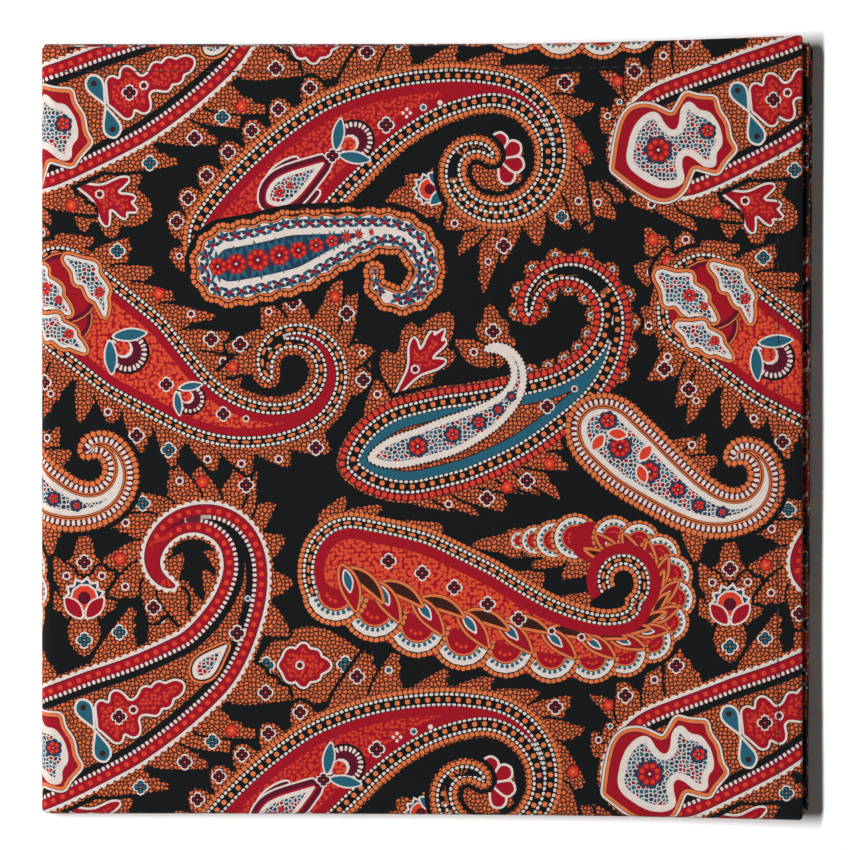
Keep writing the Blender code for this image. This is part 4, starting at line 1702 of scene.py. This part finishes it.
@dataclass
class Stitching:
    """Lockstitch along the hems of the front and back quarters."""

    stack: Stack
    hem: Hem
    front: FrontQuarter
    back: BackQuarter
    lift_front: float = 0.05
    lift_back: float = 0.135  # keeps the thread above the surface that the square lies on
    half_length: float = 0.38  # of a stitch, as a share of the pitch
    uneven: float = 0.08  # how far a stitch may lie off the line
    corner: float = 2.0  # room at the far end of each line

    def build(self) -> Object:
        """Lay one small rounded stitch after another along each hem line."""
        shape = bmesh.new()
        rows = random.Random(3)
        reach = self.stack.quarter - self.hem.width
        count = int((reach - self.corner) / self.hem.pitch)
        half = self.hem.pitch * self.half_length
        for sheet, lift in ((self.front, self.lift_front), (self.back, self.lift_back)):
            for flip, k in product((False, True), range(count)):
                run = reach - self.hem.pitch * (k + 0.5)
                off = reach + rows.uniform(-self.uneven, self.uneven)
                ends = [complex(off, r) if flip else complex(r, off) for r in (run - half, run + half)]
                start, end = (self.stack.metres(place) for place in sheet.fold(np.array(ends), 0.0))
                self.stitch(shape, start, end, Vector((0, 0, lift * MM)))
        return placed("hem_stitching", shape)

    def stitch(self, shape: BMesh, start: Vector, end: Vector, lift: Vector) -> None:
        """Add one stitch between two places, lifted a little."""
        start, end = start + lift, end + lift
        turn = (end - start).to_track_quat("X", "Z").to_matrix().to_4x4()
        thread = self.hem.thread / 2 * MM
        size = Matrix.Diagonal(((end - start).length / 2, thread, thread, 1.0))
        bmesh.ops.create_uvsphere(shape, u_segments=8, v_segments=6, radius=1.0,
                                  matrix=Matrix.Translation((start + end) / 2) @ turn @ size)


def operator(operation: str) -> tuple[Callable, Callable]:
    """The method of a sum between two values, and the reflected one."""

    def plain(value: "Value", other: object) -> "Value":
        return value._math(operation, value, other)

    def reflected(value: "Value", other: object) -> "Value":
        return value._math(operation, other, value)

    return plain, reflected


class Value:
    """A shader socket that takes part in sums."""

    def __init__(self, nodes: "Nodes", socket: bpy.types.NodeSocket) -> None:
        self.nodes = nodes
        self.socket = socket

    def _math(self, operation: str, *values: object) -> "Value":
        return self.nodes.add("ShaderNodeMath", {"operation": operation}, dict(enumerate(values)))

    __add__, __radd__ = operator("ADD")
    __sub__, __rsub__ = operator("SUBTRACT")
    __mul__, __rmul__ = operator("MULTIPLY")
    __truediv__, __rtruediv__ = operator("DIVIDE")
    __pow__, __rpow__ = operator("POWER")

    def absolute(self) -> "Value":
        """Its size without its sign."""
        return self._math("ABSOLUTE", self)

    def fraction(self) -> "Value":
        """What is left over whole numbers."""
        return self._math("FRACT", self)

    def sine(self) -> "Value":
        """Its sine."""
        return self._math("SINE", self)

    def above(self, limit: float) -> "Value":
        """1 where it is greater than a limit."""
        return self._math("GREATER_THAN", self, limit)

    def equals(self, number: int) -> "Value":
        """1 where it is a whole number, else 0."""
        return 1.0 - (self - float(number)).absolute().above(0.5)

    def output(self, key: int | str) -> "Value":
        """Another output of the node that it comes from."""
        return Value(self.nodes, self.socket.node.outputs[key])

    def step(self, low: float, high: float) -> "Value":
        """Soft step from 0 at low to 1 at high."""
        return self.nodes.add("ShaderNodeMapRange", {"interpolation_type": "SMOOTHSTEP"},
                              {"Value": self, "From Min": low, "From Max": high})


Colour = tuple[float, float, float, float]


def dye(red: int, green: int, blue: int) -> Colour:
    """Linear colour of an sRGB one given in 0 to 255."""
    linear = (((c / 255 + 0.055) / 1.055) ** 2.4 if c > 10 else c / 255 / 12.92 for c in (red, green, blue))
    return (*linear, 1.0)


class Nodes:
    """Adds and links the nodes of one material."""

    STOPS = 32  # most that a colour ramp holds

    def __init__(self, material: Material) -> None:
        self.tree = material.node_tree

    def finish(self, inputs: dict[str, object]) -> None:
        """Set or link inputs of the material's shader, by name."""
        shader = self.tree.nodes["Principled BSDF"]
        for key, value in inputs.items():
            if isinstance(value, Value):
                self.tree.links.new(value.socket, shader.inputs[key])
            else:
                shader.inputs[key].default_value = value

    def add(self, kind: str, settings: dict | None = None, inputs: dict | None = None,
            output: int | str = 0) -> Value:
        """Add one node.

        Args:
            kind: the node's type.
            settings: values of its properties.
            inputs: values or links of its inputs, by name or number.
            output: which of its outputs is handed back.

        Returns:
            The output's socket.
        """
        node = self.tree.nodes.new(kind)
        for key, value in (settings or {}).items():
            setattr(node, key, value)
        for key, value in (inputs or {}).items():
            if isinstance(value, Value):
                self.tree.links.new(value.socket, node.inputs[key])
            else:
                node.inputs[key].default_value = value
        return Value(self, node.outputs[output])

    def mix(self, share: object, first: object, second: object, blend: str = "MIX") -> Value:
        """Mix two colours."""
        return self.add("ShaderNodeMix", {"data_type": "RGBA", "blend_type": blend},
                        {0: share, 6: first, 7: second}, 2)

    def chart(self, ink: Value, rows: dict[Ink, Colour]) -> Value:
        """One colour for each ink."""
        node = self.tree.nodes.new("ShaderNodeValToRGB")
        ramp = node.color_ramp
        ramp.interpolation = "CONSTANT"
        ramp.elements.remove(ramp.elements[1])
        ramp.elements[0].position = 0.0
        ramp.elements[0].color = rows[BLACK]
        for k in list(Ink)[1:]:
            ramp.elements.new(k / self.STOPS).color = rows[k]
        self.tree.links.new(((ink + 0.5) * (1 / self.STOPS)).socket, node.inputs[0])
        return Value(self, node.outputs[0])

    def grey(self, value: Value) -> Value:
        """A grey of a given brightness."""
        return self.add("ShaderNodeCombineColor", inputs={0: value, 1: value, 2: value})


@dataclass(frozen=True)
class Pattern:
    """The small figure that repeats along a band.

    Attributes:
        ground, figure: the two dyes; an ink without a figure is plain.
        length: half the figure's length, as a share of one repeat.
        width: half the figure's width, as a share of half the band.
    """

    ground: Colour
    figure: Colour | None = None
    length: float = 1.0
    width: float = 1.0


@dataclass(frozen=True)
class Cells:
    """A field of small uneven cells, drawn where their distance passes from near to far."""

    count: float  # a millimetre
    near: float
    far: float
    strength: float = 1.0

    def field(self, nodes: Nodes, cloth: Value, feature: str) -> Value:
        """Distance within the cells, from their middles (F1) or from their edges."""
        return nodes.add("ShaderNodeTexVoronoi", {"feature": feature, "voronoi_dimensions": "2D"},
                         {"Vector": cloth, "Scale": self.count, "Randomness": 0.75})

    def gaps(self, distance: Value) -> Value:
        """1 where the distance is small, and 0 where it is large."""
        return 1.0 - distance.step(self.near, self.far)


@dataclass(frozen=True)
class PrintedCotton:
    """Finish of the printed twill."""

    roughness: float = 0.9
    shine: float = 0.12
    sheen: float = 0.04
    sheen_roughness: float = 0.5
    weave: float = 0.36  # distance between two ribs of the twill
    yarn: float = 1.7  # distance between two yarns, in ribs
    relief: float = 0.00008  # of the weave, in metres
    black = dye(15, 18, 20)
    orange = dye(214, 105, 62)
    cream = dye(214, 202, 194)
    crimson = dye(152, 14, 32)
    scarlet = dye(206, 60, 38)
    ember = dye(214, 76, 44)
    maroon = dye(86, 15, 36)
    teal = dye(34, 90, 110)
    navy = dye(34, 52, 76)
    umber = dye(56, 25, 20)
    amber = dye(214, 112, 64)
    #                  count near  far
    orange_cells = Cells(1.12, 0.08, 0.27)
    leaflets = Cells(1.12, 0.07, 0.16)
    flecks = Cells(1.15, 0.28, 0.5, 0.85)
    ember_spots = Cells(1.15, 0.36, 0.56, 0.95)
    navy_share, crimson_share = 0.45, 0.8  # limits that pick a leaflet's dye

    def patterns(self) -> dict[Ink, Pattern]:
        """The dyes and small figures of every ink."""
        plain = {BLACK: self.black, ORANGE: self.orange, CREAM: self.cream,
                 CRIMSON: self.crimson, FLECKED: self.crimson, MAROON: self.maroon,
                 TEAL: self.teal, NAVY: self.navy, UMBER: self.umber, AMBER: self.amber,
                 SCARLET: self.scarlet, GARDEN: self.cream, EMBERS: self.crimson}
        return {ink: Pattern(colour) for ink, colour in plain.items()} | {
            #                       ground       figure      length width
            WHITE_BEADS: Pattern(self.black, self.cream, 0.35, 0.78),
            AMBER_DOTS: Pattern(self.black, self.amber, 0.24, 0.68),
            AMBER_DASHES: Pattern(self.black, self.amber, 0.34, 0.62),
            AMBER_BEADS: Pattern(self.umber, self.amber, 0.42, 0.86),
            WHITE_COMB: Pattern(self.maroon, self.cream, 0.3, 0.95),
            DOTTED_CRIMSON: Pattern(self.crimson, self.scarlet, 0.24, 0.5),
            SCARLET_BEADS: Pattern(self.maroon, self.scarlet, 0.36, 0.8),
            TEAL_TEETH: Pattern(self.cream, self.teal, 0.32, 0.9)}

    def figures(self, nodes: Nodes, ink: Value) -> Value:
        """The dyes, with the beads, dots and teeth along the bands."""
        rows = self.patterns()
        ground = nodes.chart(ink, {k: row.ground for k, row in rows.items()})
        figure = nodes.chart(ink, {k: row.figure or row.ground for k, row in rows.items()})
        sizes = nodes.chart(ink, {k: (row.length, row.width, 1.0, 1.0) for k, row in rows.items()})
        run = nodes.add("ShaderNodeUVMap", {"uv_map": PrintedCloth.RUN})
        length = nodes.add("ShaderNodeSeparateColor", inputs={0: sizes})
        place = nodes.add("ShaderNodeSeparateXYZ", inputs={0: run})
        along = (place.fraction() - 0.5).absolute() / length
        across = place.output(1).absolute() / length.output(1)
        bead = 1.0 - (along ** 3.0 + across ** 3.0).step(0.75, 1.25)
        return nodes.mix(bead * ink.above(WHITE_BEADS - 0.5), ground, figure)

    def cells(self, nodes: Nodes, ink: Value, cloth: Value, colour: Value) -> Value:
        """The dyes, with the cells of the orange leaves, the flecks and the blue leaflets."""
        rim = self.orange_cells.field(nodes, cloth, "DISTANCE_TO_EDGE")
        colour = nodes.mix(self.orange_cells.gaps(rim) * ink.equals(ORANGE), colour, self.umber)
        spots = self.flecks.field(nodes, cloth, "F1")
        for kind, cells, dyed in ((FLECKED, self.flecks, self.scarlet),
                                  (EMBERS, self.ember_spots, self.ember)):
            colour = nodes.mix(cells.gaps(spots) * ink.equals(kind) * cells.strength, colour, dyed)
        chance = self.leaflets.field(nodes, cloth, "F1").output("Color")
        chance = nodes.add("ShaderNodeSeparateColor", inputs={0: chance})
        leaflet = nodes.mix(chance.above(self.navy_share), self.teal, self.navy)
        leaflet = nodes.mix(chance.output(1).above(self.crimson_share), leaflet, self.crimson)
        inside = rim.step(self.leaflets.near, self.leaflets.far)
        return nodes.mix(inside * ink.equals(GARDEN), colour, leaflet)

    def build(self) -> Material:
        """Make the material."""
        material = bpy.data.materials.new("printed_cotton")
        material.use_nodes = True
        nodes = Nodes(material)
        ink = nodes.add("ShaderNodeAttribute", {"attribute_name": PrintedCloth.INK}, output="Fac")
        cloth = nodes.add("ShaderNodeUVMap", {"uv_map": PrintedCloth.WEAVE})
        colour = self.cells(nodes, ink, cloth, self.figures(nodes, ink))

        right = nodes.add("ShaderNodeSeparateXYZ", inputs={0: cloth})
        up, pace = right.output(1), 2 * math.pi / self.weave / math.sqrt(2)
        ribs = ((right + up) * pace).sine()
        yarns = ((right - up) * (pace / self.yarn)).sine()
        cloud = nodes.add("ShaderNodeTexNoise", {"noise_dimensions": "2D"},
                          {"Vector": cloth, "Scale": 0.9, "Detail": 4.0, "Roughness": 0.6}, "Fac")
        worn = 0.86 + 0.11 * ribs + 0.07 * yarns + (cloud - 0.5) * 0.3
        colour = nodes.mix(1.0, colour, nodes.grey(worn), "MULTIPLY")
        height = ribs * 0.5 + yarns * 0.2 + cloud
        bump = nodes.add("ShaderNodeBump", inputs={"Strength": 0.5, "Distance": self.relief,
                                                   "Height": height})
        nodes.finish({"Base Color": colour, "Normal": bump, "Roughness": self.roughness,
                      "Specular IOR Level": self.shine, "Sheen Weight": self.sheen,
                      "Sheen Roughness": self.sheen_roughness})
        return material


@dataclass(frozen=True)
class PlainFinish:
    """A finish of one colour: the sewing thread, or the studio's floor."""

    name: str
    colour: Colour
    roughness: float
    shine: float = 0.5

    def build(self) -> Material:
        """Make the material."""
        material = bpy.data.materials.new(self.name)
        material.use_nodes = True
        Nodes(material).finish({"Base Color": self.colour, "Roughness": self.roughness,
                                "Specular IOR Level": self.shine})
        return material


@dataclass(frozen=True)
class Lamp:
    """A soft rectangular light that faces the origin; metres and watts."""

    name: str
    place: tuple[float, float, float]
    size: tuple[float, float]
    energy: float

    def build(self) -> Object:
        """Make the light."""
        light = bpy.data.lights.new(self.name, "AREA")
        light.shape = "RECTANGLE"
        light.size, light.size_y = self.size
        light.energy = self.energy
        lamp = bpy.data.objects.new(self.name, light)
        lamp.location = self.place
        lamp.rotation_euler = (-Vector(self.place)).to_track_quat("-Z", "Y").to_euler()
        bpy.context.scene.collection.objects.link(lamp)
        return lamp


@dataclass(frozen=True)
class Studio:
    """Pale floor, soft light from the left, and the camera straight above; metres and watts."""

    camera_place: tuple[float, float, float] = (-0.00057, 0.00061, 1.279)
    lens: float = 250.0
    sensor: float = 36.0
    floor_half: float = 1.5
    floor = PlainFinish("floor", dye(252, 252, 252), 0.9, 0.1)
    lamps = (Lamp("key", (-0.92, 0.1, 1.26), (0.9, 0.08), 36.0), Lamp("fill", (0.3, -0.2, 1.9),
                                                                      (1.6, 1.6), 1.2))
    sky: Colour = (1.0, 0.92, 0.8, 1.0)
    sky_strength: float = 0.05

    def build(self) -> None:
        """Add the floor, lights, world and camera."""
        scene = bpy.context.scene
        scene.view_settings.view_transform = "Standard"
        shape = bmesh.new()
        bmesh.ops.create_grid(shape, x_segments=1, y_segments=1, size=self.floor_half)
        floor = placed("floor", shape)
        floor.data.materials.append(self.floor.build())
        for lamp in self.lamps:
            lamp.build()
        world = bpy.data.worlds.new("studio")
        world.use_nodes = True
        world.node_tree.nodes["Background"].inputs["Color"].default_value = self.sky
        world.node_tree.nodes["Background"].inputs["Strength"].default_value = self.sky_strength
        scene.world = world
        data = bpy.data.cameras.new("camera")
        data.lens = self.lens
        data.sensor_width = self.sensor
        camera = bpy.data.objects.new("camera", data)
        camera.location = self.camera_place
        scene.collection.objects.link(camera)
        scene.camera = camera


def dress(piece: Object, material: Material, slot: str, *nodes: str) -> None:
    """Give a piece its material, and let it stand for CAD nodes."""
    piece.data.materials.clear()
    piece.data.materials.append(material)
    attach(piece, "root")
    if nodes:
        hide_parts(*nodes)


CREASES = (
    #      start     end        width rise  sag
    Crease(96 + 20j, 128 + 150j, 34, 0.16, 4),
    Crease(20 + 96j, 150 + 88j, 40, -0.12, -3),
    Crease(30 + 30j, 60 + 140j, 30, 0.1, -3),
    Crease(118 + 8j, 160 + 60j, 22, -0.1, 2),
)
INNER_MARGIN = 9.0  # width along the hidden quarters' hems that carries the print


def main() -> None:
    """Build the folded square and the studio round it."""
    logging.basicConfig(level=logging.INFO, format="%(message)s")
    stack, hem = Stack(), Hem()
    art = paisley()
    log.info("print: %d shapes", len(art.shapes))
    cotton = PrintedCotton().build()
    thread = PlainFinish("sewing_thread", dye(38, 34, 36), 0.75).build()
    front = FrontQuarter(stack, hem, CREASES)
    back = BackQuarter(stack, hem)
    inner = InnerQuarters(stack, hem)

    top = PrintedCloth(front, art).build()
    dress(top, cotton, "printed_cotton", "outer_quarters", "outer_top_hem", "front_side_hem")
    under = PrintedCloth(back, art).build()
    dress(under, cotton, "printed_cotton", "back_side_hem")
    middle = PrintedCloth(inner, art, INNER_MARGIN).build()
    dress(middle, cotton, "printed_cotton", "inner_quarters")
    stitches = Stitching(stack, hem, front, back).build()
    dress(stitches, thread, "sewing_thread")

    front.cut_size()
    back.cut_size()
    inner.cut_size()
    Studio().build()


if __name__ == "__main__":
    main()
